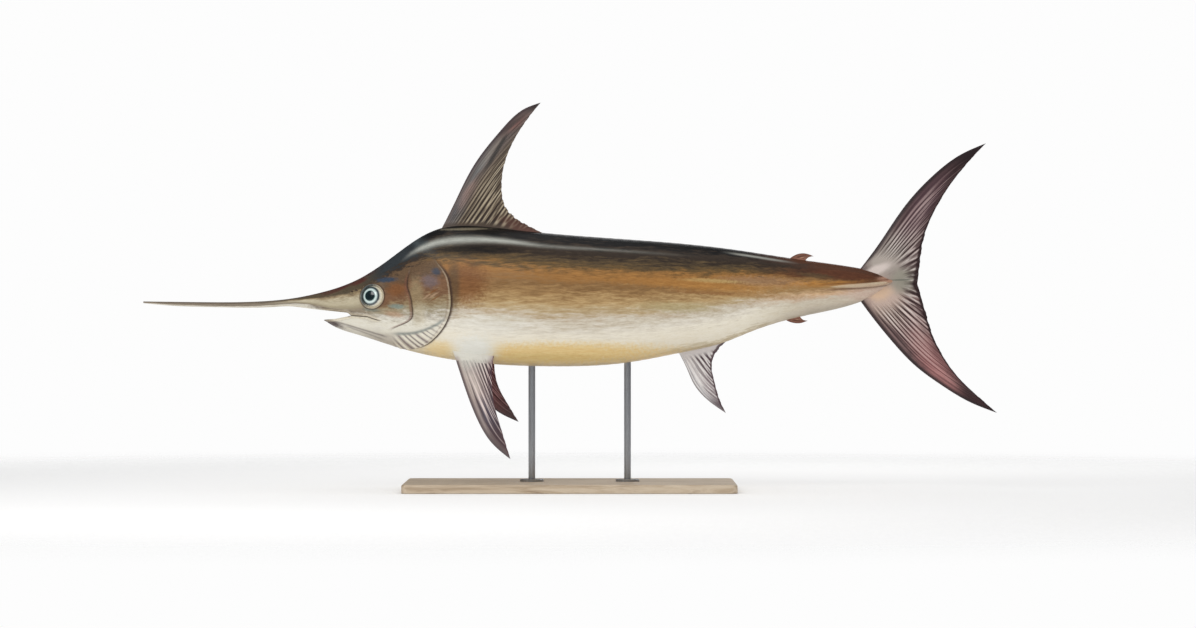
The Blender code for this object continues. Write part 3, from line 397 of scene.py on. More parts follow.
# Finish of each fin. Its paints are web, ray, gap beside a ray, root_ray, front, edge_line and hind.
# front_to, ray_from and gap_from are shares from the front edge back, calm is the height at which the rays
# begin, and gap_width runs against a rib's height. marks lie under the rays, and shades over them.
PLAIN_FIN = dict(hairs=0.35, front_edge=0.0, slant=0.0, hind_third=0.0, marks=(), shades=())
FINS = {
    "first_dorsal": dict(
        PLAIN_FIN,
        web=(120, 104, 86), ray=(206, 196, 170), gap=(52, 42, 35), front=(112, 100, 96),
        front_to=(0.1, 0.4), ray_from=(0.22, 0.55), gap_from=(0.04, 0.45), calm=(-0.006, 0.012),
        edge_line=(58, 46, 48), hind=(92, 70, 60), hind_strength=0.35, margin=0.006, broad=26.0,
        streaks=0.6, gap_width=(0.5, 0.15), front_edge=0.6, root_ray=(186, 172, 146),
        marks=(
            ((70, 58, 50), 0.95, (1.2, 0.25), (0.2, 0.024), 0.04),
            ((96, 58, 50), 0.85, (1.33, 0.256), (0.1, 0.024), 0.3),
            ((106, 108, 112), 0.6, (1.106, 0.31), (0.024, 0.07), 0.45),
            ((172, 142, 132), 0.5, (1.142, 0.37), (0.02, 0.07), 0.5),
            ((110, 122, 124), 0.5, (1.19, 0.49), (0.02, 0.12), 0.58),
            ((150, 138, 126), 0.5, (1.236, 0.54), (0.012, 0.1), 0.62),
            ((132, 92, 84), 0.8, (1.31, 0.632), (0.08, 0.026), -0.8),
        ),
        shades=(
            ((78, 66, 56), 0.8, (1.18, 0.252), (0.17, 0.024), 0.04),
            ((94, 62, 52), 0.75, (1.34, 0.258), (0.1, 0.026), 0.3),
            ((50, 48, 46), 0.8, (1.243, 0.525), (0.009, 0.1), 0.54),
            ((62, 52, 50), 0.6, (1.3, 0.618), (0.008, 0.08), 0.91),
            ((70, 62, 58), 0.55, (1.135, 0.33), (0.008, 0.09), 0.45),
            ((44, 37, 34), 1.0, (1.398, 0.694), (0.052, 0.022), -0.5),
        ),
    ),
    "tail_fin": dict(
        PLAIN_FIN,
        web=(92, 66, 66), ray=(200, 176, 170), gap=(52, 34, 36), front=(80, 60, 60), front_to=(0.05, 0.2),
        ray_from=(0.06, 0.2), gap_from=(0.0, 0.12), calm=(0.0, 0.06), edge_line=(46, 34, 36),
        hind=(46, 28, 30), hind_strength=0.95, margin=0.018, broad=20.0, streaks=0.6,
        gap_width=(0.42, 0.08), hairs=0.55, front_edge=0.65, hind_third=0.72, root_ray=(226, 216, 208),
        marks=(
            ((176, 156, 150), 0.85, (2.738, 0.325), (0.085, 0.016), -1.03),
            ((188, 132, 128), 0.95, (2.77, -0.215), (0.17, 0.045), 0.92),
            ((206, 176, 166), 0.9, (2.7, -0.1), (0.12, 0.05), 0.95),
            ((150, 130, 126), 0.7, (2.66, 0.2), (0.17, 0.11), -0.95),
            ((176, 146, 142), 0.7, (2.66, -0.08), (0.17, 0.11), 0.9),
            ((178, 168, 158), 0.9, (2.61, 0.15), (0.105, 0.085), -0.95),
            ((196, 174, 160), 0.9, (2.61, -0.005), (0.105, 0.085), 0.9),
            ((150, 146, 132), 0.85, (2.672, 0.07), (0.06, 0.055), 0.0),
            ((218, 186, 156), 0.85, (2.585, 0.03), (0.05, 0.036), 0.0),
            ((222, 208, 200), 0.8, (2.58, 0.108), (0.06, 0.018), -0.35),
        ),
        shades=(
            ((84, 88, 78), 0.6, (2.665, 0.071), (0.055, 0.0035), -0.02),
            ((178, 120, 118), 0.35, (2.78, -0.215), (0.16, 0.055), 0.95),
            ((112, 82, 92), 0.3, (2.74, 0.33), (0.15, 0.05), -1.0),
            ((74, 52, 52), 0.75, (2.815, 0.365), (0.14, 0.02), -1.0),
            ((68, 44, 46), 0.85, (2.87, -0.24), (0.14, 0.02), 0.98),
            ((42, 32, 34), 0.95, (2.93, 0.53), (0.11, 0.045), -0.55),
            ((62, 40, 42), 0.95, (2.965, -0.372), (0.12, 0.045), 0.55),
        ),
    ),
    "first_anal": dict(
        PLAIN_FIN,
        web=(214, 208, 206), ray=(236, 232, 228), gap=(72, 52, 58), front=(214, 212, 212),
        front_to=(0.05, 0.2), ray_from=(0.0, 0.1), gap_from=(0.16, 0.5), calm=(0.002, 0.026),
        edge_line=(128, 120, 122), hind=(76, 54, 60), hind_strength=0.9, margin=0.012, broad=18.0,
        streaks=0.35, gap_width=(0.62, 0.18), root_ray=(236, 232, 228),
        marks=(
            ((150, 134, 138), 0.6, (2.0, -0.31), (0.03, 0.07), -0.45),
        ),
        shades=(
            ((92, 76, 82), 0.85, (2.035, -0.385), (0.06, 0.034), 0.75),
        ),
    ),
    "pectoral_outer": dict(
        PLAIN_FIN,
        web=(158, 138, 136), ray=(236, 214, 208), gap=(58, 42, 50), front=(164, 148, 140),
        front_to=(0.05, 0.3), ray_from=(0.02, 0.15), gap_from=(0.16, 0.46), calm=(0.03, 0.085),
        edge_line=(84, 72, 74), hind=(84, 46, 54), hind_strength=0.7, margin=0.008, broad=16.0, streaks=0.8,
        gap_width=(0.72, 0.22), hairs=0.45, front_edge=0.75, slant=0.05, root_ray=(236, 222, 214),
        marks=(
            ((200, 186, 176), 0.95, (0.06, -0.11), (0.06, 0.06), 0.35),
            ((84, 78, 90), 0.95, (0.132, -0.235), (0.042, 0.1), -0.45),
            ((74, 54, 58), 0.95, (0.18, -0.335), (0.055, 0.08), -0.6),
            ((212, 209, 198), 1.0, (0.05, 0.01), (0.11, 0.08), 0.1),
            ((104, 50, 60), 0.9, (0.138, -0.075), (0.022, 0.06), 0.0),
        ),
        shades=(
            ((74, 52, 56), 0.65, (0.172, -0.33), (0.045, 0.09), -0.6),
        ),
    ),
    # The face against the body is painted dark wine, partly its own colour and partly painted shade
    "pectoral_inner": dict(
        PLAIN_FIN,
        web=(108, 58, 66), ray=(190, 152, 154), gap=(60, 34, 40), front=(112, 74, 78), front_to=(0.05, 0.3),
        ray_from=(0.05, 0.25), gap_from=(0.03, 0.25), calm=(0.02, 0.07), edge_line=(60, 44, 48),
        hind=(72, 40, 46), hind_strength=0.75, margin=0.01, broad=16.0, streaks=0.5, gap_width=(0.55, 0.15),
        front_edge=0.4, root_ray=(220, 196, 190),
        marks=(
            ((76, 50, 52), 0.85, (0.18, -0.34), (0.06, 0.07), -0.6),
            ((218, 212, 206), 0.95, (0.05, 0.02), (0.11, 0.07), 0.1),
        ),
        shades=(
            ((70, 46, 48), 0.6, (0.188, -0.345), (0.034, 0.06), -0.6),
        ),
    ),
    "second_fin": dict(
        PLAIN_FIN,
        web=(142, 98, 80), ray=(182, 142, 116), gap=(96, 62, 50), front=(124, 82, 66), front_to=(0.1, 0.4),
        ray_from=(0.05, 0.3), gap_from=(0.05, 0.3), calm=(0.001, 0.006), edge_line=(84, 54, 46),
        hind=(92, 58, 50), hind_strength=0.5, margin=0.003, broad=9.0, streaks=0.3, gap_width=(0.55, 0.15),
        root_ray=(182, 142, 116),
    ),
}

# Studio
STUDIO_WHITE = (226, 227, 229)
REFLECTED_GREY = (84, 86, 90)
BACKDROP_WHITE = (253, 253, 253)
FLOOR_WHITE = (247, 246, 244)
FLOOR_RADIUS, FLOOR_LEVEL = 5.5, -0.001
FLOOR_FADE = (5.4, 2.2)
# Each light's name, place, aim, size and power
SOFT_LIGHTS = (
    ("key", (-1.6, -3.6, 3.2), (0.0, 0.0, 0.75), (3.2, 2.0), 64),
    ("top", (0.3, 0.2, 3.8), (0.0, 0.0, 0.7), (4.0, 1.6), 15),
    ("back", (1.2, 3.4, 2.4), (0.0, 0.0, 0.7), (3.0, 1.6), 26),
)
PICTURE_SCALE = 0.0035129  # metres to a pixel of the picture, at the fish's middle plane
PICTURE_WIDTH, PICTURE_HEIGHT = 1196, 628
TIP_COLUMN, FLOOR_ROW = 143, 490  # where the bill's tip and the floor come to lie in it
LENS = 150
SENSOR = 36


def smooth_curve(stations):
    """A function through (place, value) pairs: the natural cubic spline, which bends evenly."""
    places, values = np.array(stations, float).T
    steps = np.diff(places)
    count = len(places)
    system, wanted = np.eye(count), np.zeros(count)
    for i in range(1, count - 1):
        system[i, i - 1 : i + 2] = steps[i - 1], 2 * (steps[i - 1] + steps[i]), steps[i]
        before, after = values[i] - values[i - 1], values[i + 1] - values[i]
        wanted[i] = 6 * (after / steps[i] - before / steps[i - 1])
    bends = np.linalg.solve(system, wanted)

    def curve(at):
        at = np.clip(np.asarray(at, float), places[0], places[-1])
        i = np.clip(np.searchsorted(places, at, side="right") - 1, 0, count - 2)
        step, left, right = steps[i], at - places[i], places[i + 1] - at
        return (
            (bends[i] * right**3 + bends[i + 1] * left**3) / (6 * step)
            + (values[i] / step - bends[i] * step / 6) * right
            + (values[i + 1] / step - bends[i + 1] * step / 6) * left
        )

    return curve


def smooth_path(points):
    """A function from 0..1 to places along a smooth path through points, evenly by their distances."""
    points = np.array(points, float)
    lengths = np.linalg.norm(np.diff(points, axis=0), axis=1)
    along = np.concatenate([[0], np.cumsum(lengths)]) / lengths.sum()
    curves = [smooth_curve(list(zip(along, values))) for values in points.T]
    return lambda t: np.stack([curve(t) for curve in curves], axis=-1)


def soft_line(points, blur):
    """A function along straight pieces through points, rounded at the joints."""
    places, values = np.array(points, float).T

    def line(at):
        shifts = np.linspace(-blur, blur, 9)
        return np.mean([np.interp(np.asarray(at) + shift, places, values) for shift in shifts], axis=0)

    return line


def mixed(first, last, share):
    return first + (last - first) * share


def ease(start, end, value):
    """0 before start and 1 after end, with a smooth change between. It also runs downwards."""
    t = np.clip((value - start) / (end - start), 0, 1)
    return t * t * (3 - 2 * t)


def span(start, full, fading, end, value):
    """1 from full to fading, and 0 before start and after end, with smooth changes between."""
    return ease(start, full, value) * ease(end, fading, value)


def hill(value, middle, half_width):
    """1 at the middle, falling smoothly away on both sides."""
    return np.exp(-(((value - middle) / half_width) ** 2))


back, belly = smooth_curve(BACK), smooth_curve(BELLY)
widest, half_width = smooth_curve(WIDEST), smooth_curve(HALF_WIDTH)
upper_power, lower_power = smooth_curve(UPPER_POWER), smooth_curve(LOWER_POWER)
keel_line, keel_reach = smooth_curve(KEEL_LINE), smooth_curve(KEEL_REACH)
upper_lip, lower_lip = soft_line(UPPER_LIP, 0.005), soft_line(LOWER_LIP, 0.002)
back_highlight_line = smooth_curve(BACK_HIGHLIGHT)


def world(behind, aside, up):
    return np.stack(np.broadcast_arrays(behind - TOTAL_LENGTH / 2, aside, up + BILL_LEVEL), axis=-1)


def body_point(behind, turn):
    """The plain body. turn runs from 0 on the back, down the left side to pi on the belly, and up again."""
    cosine, sine = np.cos(turn), np.sin(turn)
    reach = np.where(cosine > 0, back(behind) - widest(behind), widest(behind) - belly(behind))
    power = np.where(cosine > 0, upper_power(behind), lower_power(behind))
    aside = -np.sign(sine) * half_width(behind) * np.abs(sine) ** power
    return world(behind, aside, widest(behind) + reach * cosine)


def body_normal(behind, turn):
    around = body_point(behind, turn + 0.02) - body_point(behind, turn - 0.02)
    along = body_point(behind + 0.002, turn) - body_point(behind - 0.002, turn)
    normal = np.cross(around, along)
    return normal / (np.linalg.norm(normal, axis=-1, keepdims=True) + 1e-12)


def turn_at(behind, up):
    """The turn on the left side at which the body has this height."""
    middle = widest(behind)
    reach = np.where(up > middle, back(behind) - middle, middle - belly(behind))
    return np.arccos(np.clip((up - middle) / reach, -0.999, 0.999))


def side_frame(place, side):
    """A matrix that stands on the body's side at a place, with Z pointing out of it."""
    behind, turn = place[0], turn_at(*place)
    turn = turn if side < 0 else 2 * math.pi - turn
    here, out = Vector(body_point(behind, turn)), Vector(body_normal(behind, turn))
    upwards = out.cross(Vector((1, 0, 0))).normalized()
    if upwards.z < 0:
        upwards = -upwards
    along = upwards.cross(out).normalized()
    if along.x < 0:
        along = -along
    return Matrix.Translation(here) @ Matrix((along, upwards, out)).transposed().to_4x4()


def edge_curve(points, at_back, at_belly):
    """A plate's edge as a function from the turn to the distance behind the bill's tip."""
    points = np.array(points)
    turns = turn_at(points[:, 0], points[:, 1])
    return smooth_curve([(0.0, at_back)] + list(zip(turns, points[:, 0])) + [(math.pi, at_belly)])


cheek_edge, gill_edge = edge_curve(CHEEK_EDGE, 0.905, 0.860), edge_curve(GILL_EDGE, 0.985, 0.905)


class Rows:
    """The skin's rings. Each has, at every turn, its place behind the tip, its lift, darkness (painted
    shade in the plates' grooves) and cover.
    """

    KEYS = ("behind", "lift", "dark", "cover")

    def __init__(self):
        self.rings = []

    def add(self, behind, lift=0.0, dark=0.0, cover=0.0):
        self.rings.append([value + 0 * HALF_TURN for value in (behind, lift, dark, cover)])

    def evenly(self, stretches, cover):
        for stretch in stretches:
            for behind in np.arange(*stretch):
                self.add(behind, cover=cover)

    def between(self, first, last, shares, lifts=(0.0, 0.0), bend=1.0, cover=0.0):
        """Rows from one edge to the next. Their lift passes from one to the other, and bend delays it."""
        for share in shares:
            self.add(mixed(first, last, share), mixed(*lifts, share**bend), cover=cover)

    def across(self, edge, profile, strength, cover):
        """Rows over an edge. Where its strength is 0, the rows are evenly spread and flat."""
        table = np.array(profile)
        even = np.linspace(table[0, 0], table[-1, 0], len(table))
        crest = int(np.argmax(table[:, 1]))
        for i, (past, height, dark) in enumerate(table):
            lift = height * PROFILE_HEIGHT * strength
            self.add(edge + mixed(even[i], past, strength) * MILLIMETRE, lift, dark * strength,
                     cover + (i > crest + ROWS_TO_FOLD))

    def tables(self):
        return dict(zip(self.KEYS, np.array(self.rings).transpose(1, 0, 2)))


def make_rows():
    """Rings from the bill's tip to the tail, bent so that they follow the edges of the head's plates."""
    rows = Rows()
    cheek, gill = cheek_edge(HALF_TURN), gill_edge(HALF_TURN)
    # Each edge grows in at its top, and fades or ends below
    top, low = turn_at(*CHEEK_EDGE[0]), turn_at(*CHEEK_EDGE[-1])
    cheek_strength = span(top - 0.12, top + 0.12, low - 0.46, low - 0.22, HALF_TURN)
    top, low = turn_at(*GILL_EDGE[0]), turn_at(*GILL_EDGE[-1])
    gill_strength = ease(top - 0.25, top + 0.15, HALF_TURN)
    gill_strength *= 1 - 0.75 * ease(low - 0.05, low + 0.35, HALF_TURN)

    def end_of(edge, profile, strength, row):
        past, height, _ = profile[row]
        return edge + past * MILLIMETRE, height * PROFILE_HEIGHT * strength

    cheek_front, front_lift = end_of(cheek, CHEEK_PROFILE, cheek_strength, 0)
    cheek_rear, rear_lift = end_of(cheek, CHEEK_PROFILE, cheek_strength, -1)
    gill_front, gill_lift = end_of(gill, GILL_PROFILE, gill_strength, 0)
    gill_rear, flat = end_of(gill, GILL_PROFILE, gill_strength, -1)
    rows.evenly(SNOUT_ROWS, 0.0)
    rows.between(SNOUT_END, cheek_front, CHEEK_ROWS, (0.0, front_lift), bend=6.0)
    rows.across(cheek, CHEEK_PROFILE, cheek_strength, 0.0)
    rows.between(cheek_rear, gill_front, COVER_ROWS, (rear_lift, gill_lift), bend=1.3, cover=1.0)
    rows.across(gill, GILL_PROFILE, gill_strength, 1.0)
    rows.between(gill_rear, FLANK_START, SHOULDER_ROWS, (flat, flat), cover=2.0)
    rows.evenly(FLANK_ROWS, 2.0)
    rows.add(BODY_END, cover=2.0)
    return rows.tables()


def seam_height(behind):
    """Height of the line that parts the upper skin from the lower: bill's edge, lip, flank, keel."""
    edge = mixed(widest(behind), belly(behind), 0.4)
    line = np.where(behind < FLANK_START, upper_lip(behind), widest(behind))
    line = mixed(line, keel_line(behind), ease(2.2, 2.35, behind))
    return mixed(edge, line, ease(0.50, 0.60, behind))


def crossing_turn(rows, height):
    """For each row, the turn at which it crosses a line of the side view."""
    found = np.empty(len(rows["behind"]))
    for i, behind in enumerate(rows["behind"]):
        over = body_point(behind, HALF_TURN)[:, 2] - BILL_LEVEL - height(behind)
        after = int(np.argmax(over < 0)) if (over < 0).any() else len(over) - 1
        before = max(after - 1, 0)
        share = np.clip(over[before] / (over[before] - over[after] + 1e-12), 0, 1)
        found[i] = mixed(HALF_TURN[before], HALF_TURN[after], share)
    return found


def sample_rows(rows, turns, first=0):
    """The rows' own tables, from the first row on, read at a grid of turns."""
    return {
        key: np.stack([np.interp(turns[i], HALF_TURN, table[first + i]) for i in range(len(turns))])
        for key, table in rows.items()
    }


def fold_relief(behind, up, past_gill):
    """Folds of the gill membrane, low on the cover: where they are, the furrow over them and their wave."""
    away, over = behind - FOLD_START[0], up - FOLD_START[1]
    along = FOLD_SLOPE[1] * away - FOLD_SLOPE[0] * over
    across = FOLD_SLOPE[0] * away + FOLD_SLOPE[1] * over - FOLD_BOW * along**2
    wander = FOLD_WANDER * np.sin(2 * math.pi * across / FOLD_PERIOD)
    region = ease(0.870, 0.91, behind) * ease(-0.001, -0.006, past_gill)
    line = -0.1185 + 2.35 * np.maximum(behind - 0.916, 0) ** 2
    crossing = hill(up, line, 0.0060) * region * ease(1.075, 1.045, behind)
    region = region * ease(line + 0.002, line - 0.010, up) * (1 - 0.65 * ease(0.985, 1.045, behind))
    return region, crossing, np.cos(2 * math.pi * across / FOLD_PITCH + wander)


def relief(behind, up, past_gill):
    """How far each place stands over the plain body, with its masks."""
    membrane, crossing, wave = fold_relief(behind, up, past_gill)
    lift = FOLD_HEIGHT * membrane * wave - CROSSING_DEPTH * crossing
    fold = 0 * behind
    for start, height, slope, half_height, stretch, depth, darkness in JAW_FOLDS:
        crease = hill(up, height - slope * (behind - start), half_height) * span(*stretch, behind)
        lift -= depth * crease
        # fold carries the painted shade in each groove
        fold = np.maximum(fold, darkness * crease)
    for place, size in NOSTRILS:
        away = np.hypot((behind - place[0]) / NOSTRIL_HALF[0], (up - place[1]) / NOSTRIL_HALF[1]) / size
        pit = np.exp(-(away**3.0))
        lift += NOSTRIL_RIM * hill(away, 1.45, 0.42) - NOSTRIL_DEPTH * pit
        # The nostril's pit gets painted shade too
        fold = np.maximum(fold, pit)
    brow = hill(up - back(behind), -0.036, 0.012) * span(0.76, 0.80, 0.86, 0.90, behind)
    muscle = np.sin((behind + 0.32 * np.abs(up - widest(behind))) * 2 * math.pi / MUSCLE_PITCH)
    lift += BROW_HEIGHT * brow + MUSCLE_HEIGHT * muscle * span(1.2, 1.4, 2.3, 2.45, behind)
    return lift, {"membrane": membrane, "crossing": crossing, "fold": fold}


def eye_relief(points):
    """Lays the skin round each eye: a soft mound, a raised rim and the socket inside it."""
    ring, orbit = np.zeros(points.shape[:-1]), np.zeros(points.shape[:-1])
    for side in (-1, 1):
        frame = side_frame(EYE_PLACE, side)
        inverse = np.array(frame.inverted())
        seen = points @ inverse[:3, :3].T + inverse[:3, 3]
        away = np.hypot(seen[..., 0], seen[..., 1])
        near = (away < EYE_REACH) & (np.abs(seen[..., 2]) < 0.05)
        target = RIM_HEIGHT * hill(away, EYE_RIM, RIM_HALF_WIDTH) - SOCKET_DEPTH * ease(*SOCKET_WALL, away)
        hold = np.where(away < EYE_RIM, 1.0, hill(away, EYE_RIM, MOUND_WIDTH))
        change = np.where(near, hold * (target - seen[..., 2]), 0.0)
        points += change[..., None] * np.array(frame.col[2][:3])
        ring = np.maximum(ring, np.where(near, hill(away, 0.0452, 0.0024), 0))
        orbit = np.maximum(orbit, np.where(near, ease(0.0445, 0.0425, away), 0))
    return points, ring, orbit


def lip_relief(behind, distance):
    """The raised lip, and the groove along its edge. distance is measured from that edge."""
    length = span(*LIP_FRONT, MOUTH_END - 0.03, MOUTH_END, behind)
    bead = LIP_HEIGHT * span(0.0, 0.0025, 0.007, 0.014, distance)
    groove = np.where(behind > MOUTH_CORNER, SHUT_GROOVE, LIP_GROOVE) * hill(distance, 0, 0.0016)
    return length * (bead - groove), length * hill(distance, 0, 0.0022)


def link(thing):
    bpy.context.scene.collection.objects.link(thing)
    return thing


def add_mesh(name, points, faces, attributes):
    """A smooth mesh object from points, arrays of three- or four-cornered faces, and point values."""
    mesh = bpy.data.meshes.new(name)
    mesh.vertices.add(len(points))
    mesh.vertices.foreach_set("co", np.asarray(points, np.float32).ravel())
    corners = np.concatenate([part.ravel() for part in faces])
    sides = np.concatenate([np.full(len(part), part.shape[1]) for part in faces])
    mesh.loops.add(len(corners))
    mesh.loops.foreach_set("vertex_index", corners.astype(np.int32))
    mesh.polygons.add(len(sides))
    mesh.polygons.foreach_set("loop_start", (np.cumsum(sides) - sides).astype(np.int32))
    mesh.update(calc_edges=True)
    for key, values in attributes.items():
        values = np.asarray(values, np.float32)
        kind, field = ("FLOAT", "value") if values.ndim == 1 else ("FLOAT_VECTOR", "vector")
        mesh.attributes.new(key, kind, "POINT").data.foreach_set(field, values.ravel())
    mesh.shade_smooth()
    return link(bpy.data.objects.new(name, mesh))


def grid_quads(index, closed=False):
    """Faces over a grid of point indices."""
    if closed:
        index = np.concatenate([index, index[:, :1]], axis=1)
    corners = index[:-1, :-1], index[:-1, 1:], index[1:, 1:], index[1:, :-1]
    return np.stack(corners, axis=-1).reshape(-1, 4)


def skin_sheet(rows, turns, first, upper):
    """The left half of the upper or the lower skin, over a grid of turns, with its masks."""
    values = sample_rows(rows, turns, first)
    behind = values["behind"]
    plain = body_point(behind, turns)
    up = plain[..., 2] - BILL_LEVEL
    distance = np.linalg.norm(plain - (plain[:, -1:] if upper else plain[:, :1]), axis=-1)
    past_gill, past_cheek = (np.clip(behind - edge(turns), -0.2, 0.2) for edge in (gill_edge, cheek_edge))
    lift, masks = relief(behind, up, past_gill)
    lip, line = lip_relief(behind, distance)
    lift = lift + lip + values["lift"]
    points, ring, orbit = eye_relief(plain + lift[..., None] * body_normal(behind, turns))
    reach = keel_reach(behind)
    off = np.abs(up - keel_line(behind)) / KEEL_HALF_HEIGHT
    keel = reach * (1 - np.clip(off, 0, 1) ** 1.25) * ease(2.30, 2.36, behind)
    points[..., 1] -= keel
    masks.update(
        past_gill=past_gill,
        past_cheek=past_cheek,
        gill_line=ease(0.92, 1.35, turns) * (1 - 0.2 * ease(2.55, 2.85, turns)),
        cheek_line=span(1.02, 1.22, 2.10, 2.32, turns),
        # dark is painted shade in the plates' grooves and in the groove where the mouth is shut
        dark=np.maximum(values["dark"], line * (behind > MOUTH_CORNER - 0.01)),
        cover=values["cover"],
        lip=span(*LIP_FRONT, MOUTH_END - 0.03, MOUTH_END, behind) * hill(distance, 0.004, 0.005),
        ring=ring,
        orbit=orbit,
        keel=np.clip(keel / 0.012, 0, 1),
        keel_edge=hill(off, 1.05, 0.35) * np.clip(reach / 0.01, 0, 1),
    )
    return points, masks


def both_sides(grid, middle_first):
    """The left half of a sheet and its mirror image, with the middle column shared."""
    mirror = grid.copy()
    if grid.ndim == 3:
        mirror[..., 1] *= -1
    if middle_first:
        return np.concatenate([grid[:, ::-1], mirror[:, 1:]], axis=1)
    return np.concatenate([grid, mirror[:, -2::-1]], axis=1)


def make_skin():
    """The skin as one closed surface: back and flanks, jaw and belly, roof and floor of the mouth."""
    rows = make_rows()
    count = len(rows["behind"])
    seam, jaw = crossing_turn(rows, seam_height), crossing_turn(rows, lower_lip)
    at_seam = np.array([np.interp(turn, HALF_TURN, behind) for turn, behind in zip(seam, rows["behind"])])
    corner = int(np.argmin(np.abs(at_seam - MOUTH_CORNER)))
    tip = int(np.argmax(at_seam > JAW_TIP))
    upper, upper_masks = skin_sheet(rows, seam[:, None] * UPPER_COLUMNS, 0, True)
    lower_start = np.where(np.arange(count) < corner, jaw, seam)[:, None]
    lower_turns = mixed(lower_start, math.pi, LOWER_COLUMNS)
    lower, lower_masks = skin_sheet(rows, lower_turns[tip:], tip, False)
    upper, lower = both_sides(upper, True), both_sides(lower, False)
    for sheet in (upper, lower):
        sheet[:, sheet.shape[1] // 2, 1] = 0

    opened = corner + 1
    roof, roof_masks = mouth_roof(at_seam[:opened], seam[:opened], upper[:opened])
    floor, floor_masks = mouth_floor(lower[: opened - tip])
    grids = [upper, lower, roof, floor]
    masks = [
        {key: both_sides(value, True) for key, value in upper_masks.items()},
        {key: both_sides(value, False) for key, value in lower_masks.items()},
        roof_masks, floor_masks,
    ]
    sizes = [grid[..., 0].size for grid in grids]
    index = [
        start + np.arange(size).reshape(grid.shape[:2])
        for grid, size, start in zip(grids, sizes, np.cumsum([0] + sizes))
    ]
    # Where the mouth is closed, the lower sheet's edge is the upper sheet's edge
    edges = [0, -1]
    index[1][corner - tip :, edges] = index[0][corner:, edges]
    index[2][:, edges] = index[0][:opened, edges]
    index[3][:, edges] = index[1][: opened - tip, edges]
    index[3][-1] = index[2][-1]
    points = np.concatenate([grid.reshape(-1, 3) for grid in grids])
    quads = [grid_quads(part)[:, ::turned] for part, turned in zip(index, (-1, -1, 1, 1))]
    # Close the tip of the bill, the tip of the jaw and the end of the tail
    rims = [
        np.concatenate([index[one][row], index[other][row, -2:0:-1]])
        for one, other, row in ((0, 2, 0), (1, 3, 0), (0, 1, -1))
    ]
    caps = [
        np.stack([rim, np.roll(rim, -1), np.full_like(rim, len(points) + i)], axis=1)
        for i, rim in enumerate(rims)
    ]
    attributes = {
        key: np.concatenate([
            np.ravel(values.get(key, np.zeros(grid.shape[:2]))) for values, grid in zip(masks, grids)
        ])
        for key in (*upper_masks, "inside")
    }
    attributes["behind"], attributes["up"] = points[:, 0] + TOTAL_LENGTH / 2, points[:, 2] - BILL_LEVEL
    for key, values in attributes.items():
        attributes[key] = np.append(values, [values[rim[0]] for rim in rims])
    points = np.concatenate([points, [points[rim].mean(axis=0) for rim in rims]])
    behind, up = attributes["behind"], attributes["up"]
    attributes["down"] = np.clip((back(behind) - up) / (back(behind) - belly(behind)), 0, 1)
    attributes["back_highlight"] = back_highlight_mask(behind, up)
    attributes["place"] = np.stack([behind, up, 0 * up], axis=1)

    # Leave out the points that no face uses
    faces = [np.concatenate(quads), np.concatenate(caps)]
    used = np.unique(np.concatenate([part.ravel() for part in faces]))
    number = np.zeros(len(points), int)
    number[used] = np.arange(len(used))
    attributes = {key: values[used] for key, values in attributes.items()}
    return add_mesh("swordfish_skin", points[used], [number[part] for part in faces], attributes)


def mouth_columns():
    """Shares across the mouth's lining, from -1 at its left edge to 1 at its right, finest at both."""
    share = np.linspace(-1, 1, MOUTH_COLUMNS + 1)
    return np.sign(share) * (1 - (1 - np.abs(share)) ** 1.6)


def mouth_roof(at_seam, seam, upper):
    """The underside of the bill and the roof of the mouth: the bill's own section, cut off by the mouth."""
    share = mouth_columns()
    inner = 1 - np.abs(share)
    turns = math.pi + share * (math.pi - seam[:, None])
    behind = at_seam[:, None] + 0 * turns
    points = body_point(behind, turns)
    cut = upper_lip(behind)
    over = points[..., 2] - BILL_LEVEL - cut
    up = cut + 0.5 * (over + np.sqrt(over**2 + 0.0016**2)) - 0.0008 * ease(0.5, 0.6, behind)
    vault = MOUTH_VAULT * span(0.64, 0.70, 0.722, MOUTH_CORNER, behind) * ease(0.05, 0.5, inner)
    points[..., 2] = up + BILL_LEVEL + vault
    # The two edge columns move onto the upper sheet's edges, and the columns near them go with them
    moves = [(upper[:, side] - points[:, side])[:, None] for side in (0, -1)]
    half = points.shape[1] // 2
    moves = [np.repeat(moves[0], half, axis=1), np.repeat(moves[1], points.shape[1] - half, axis=1)]
    points += np.exp(-((inner / 0.10) ** 2))[:, None] * np.concatenate(moves, axis=1)
    inside = ease(*LIP_FRONT, behind) * ease(0.03, 0.22, inner)
    # Painted shade inside the mouth, over its own red
    return points, {"inside": inside, "dark": 0.6 * inside}


def mouth_floor(lower):
    """The floor of the mouth, between the edges of the lower jaw, with a soft ridge along its middle."""
    share = mouth_columns()
    inner = 1 - np.abs(share)
    points = mixed(lower[:, :1], lower[:, -1:], (share[:, None] + 1) / 2)
    behind = points[..., 0] + TOTAL_LENGTH / 2
    points[..., 2] -= MOUTH_VAULT * span(0.645, 0.68, 0.718, MOUTH_CORNER, behind) * ease(0.05, 0.5, inner)
    points[..., 2] += 0.004 * hill(share, 0, 0.3) * span(0.66, 0.69, 0.715, 0.73, behind)
    inside = ease(0.65, 0.68, behind) * ease(0.05, 0.25, inner)
    # Painted shade inside the mouth, over its own red
    return points, {"inside": inside, "dark": 0.6 * inside}


def back_highlight_mask(behind, up):
    """The painted highlight that runs as a pale band from the nape along the back, and the short one before
    the tail.
    """
    wide = np.interp(behind, *zip(*BACK_HIGHLIGHT_HALF_WIDTH))
    length = span(0.90, 1.0, 1.5, 2.0, behind) * (1 - 0.65 * ease(1.25, 1.45, behind))
    front = hill(up, back_highlight_line(behind), wide) * length
    hind = hill(up - back(behind), -0.0150, 0.0038) * span(2.02, 2.12, 2.18, 2.32, behind)
    return np.maximum(front, 0.75 * hind)


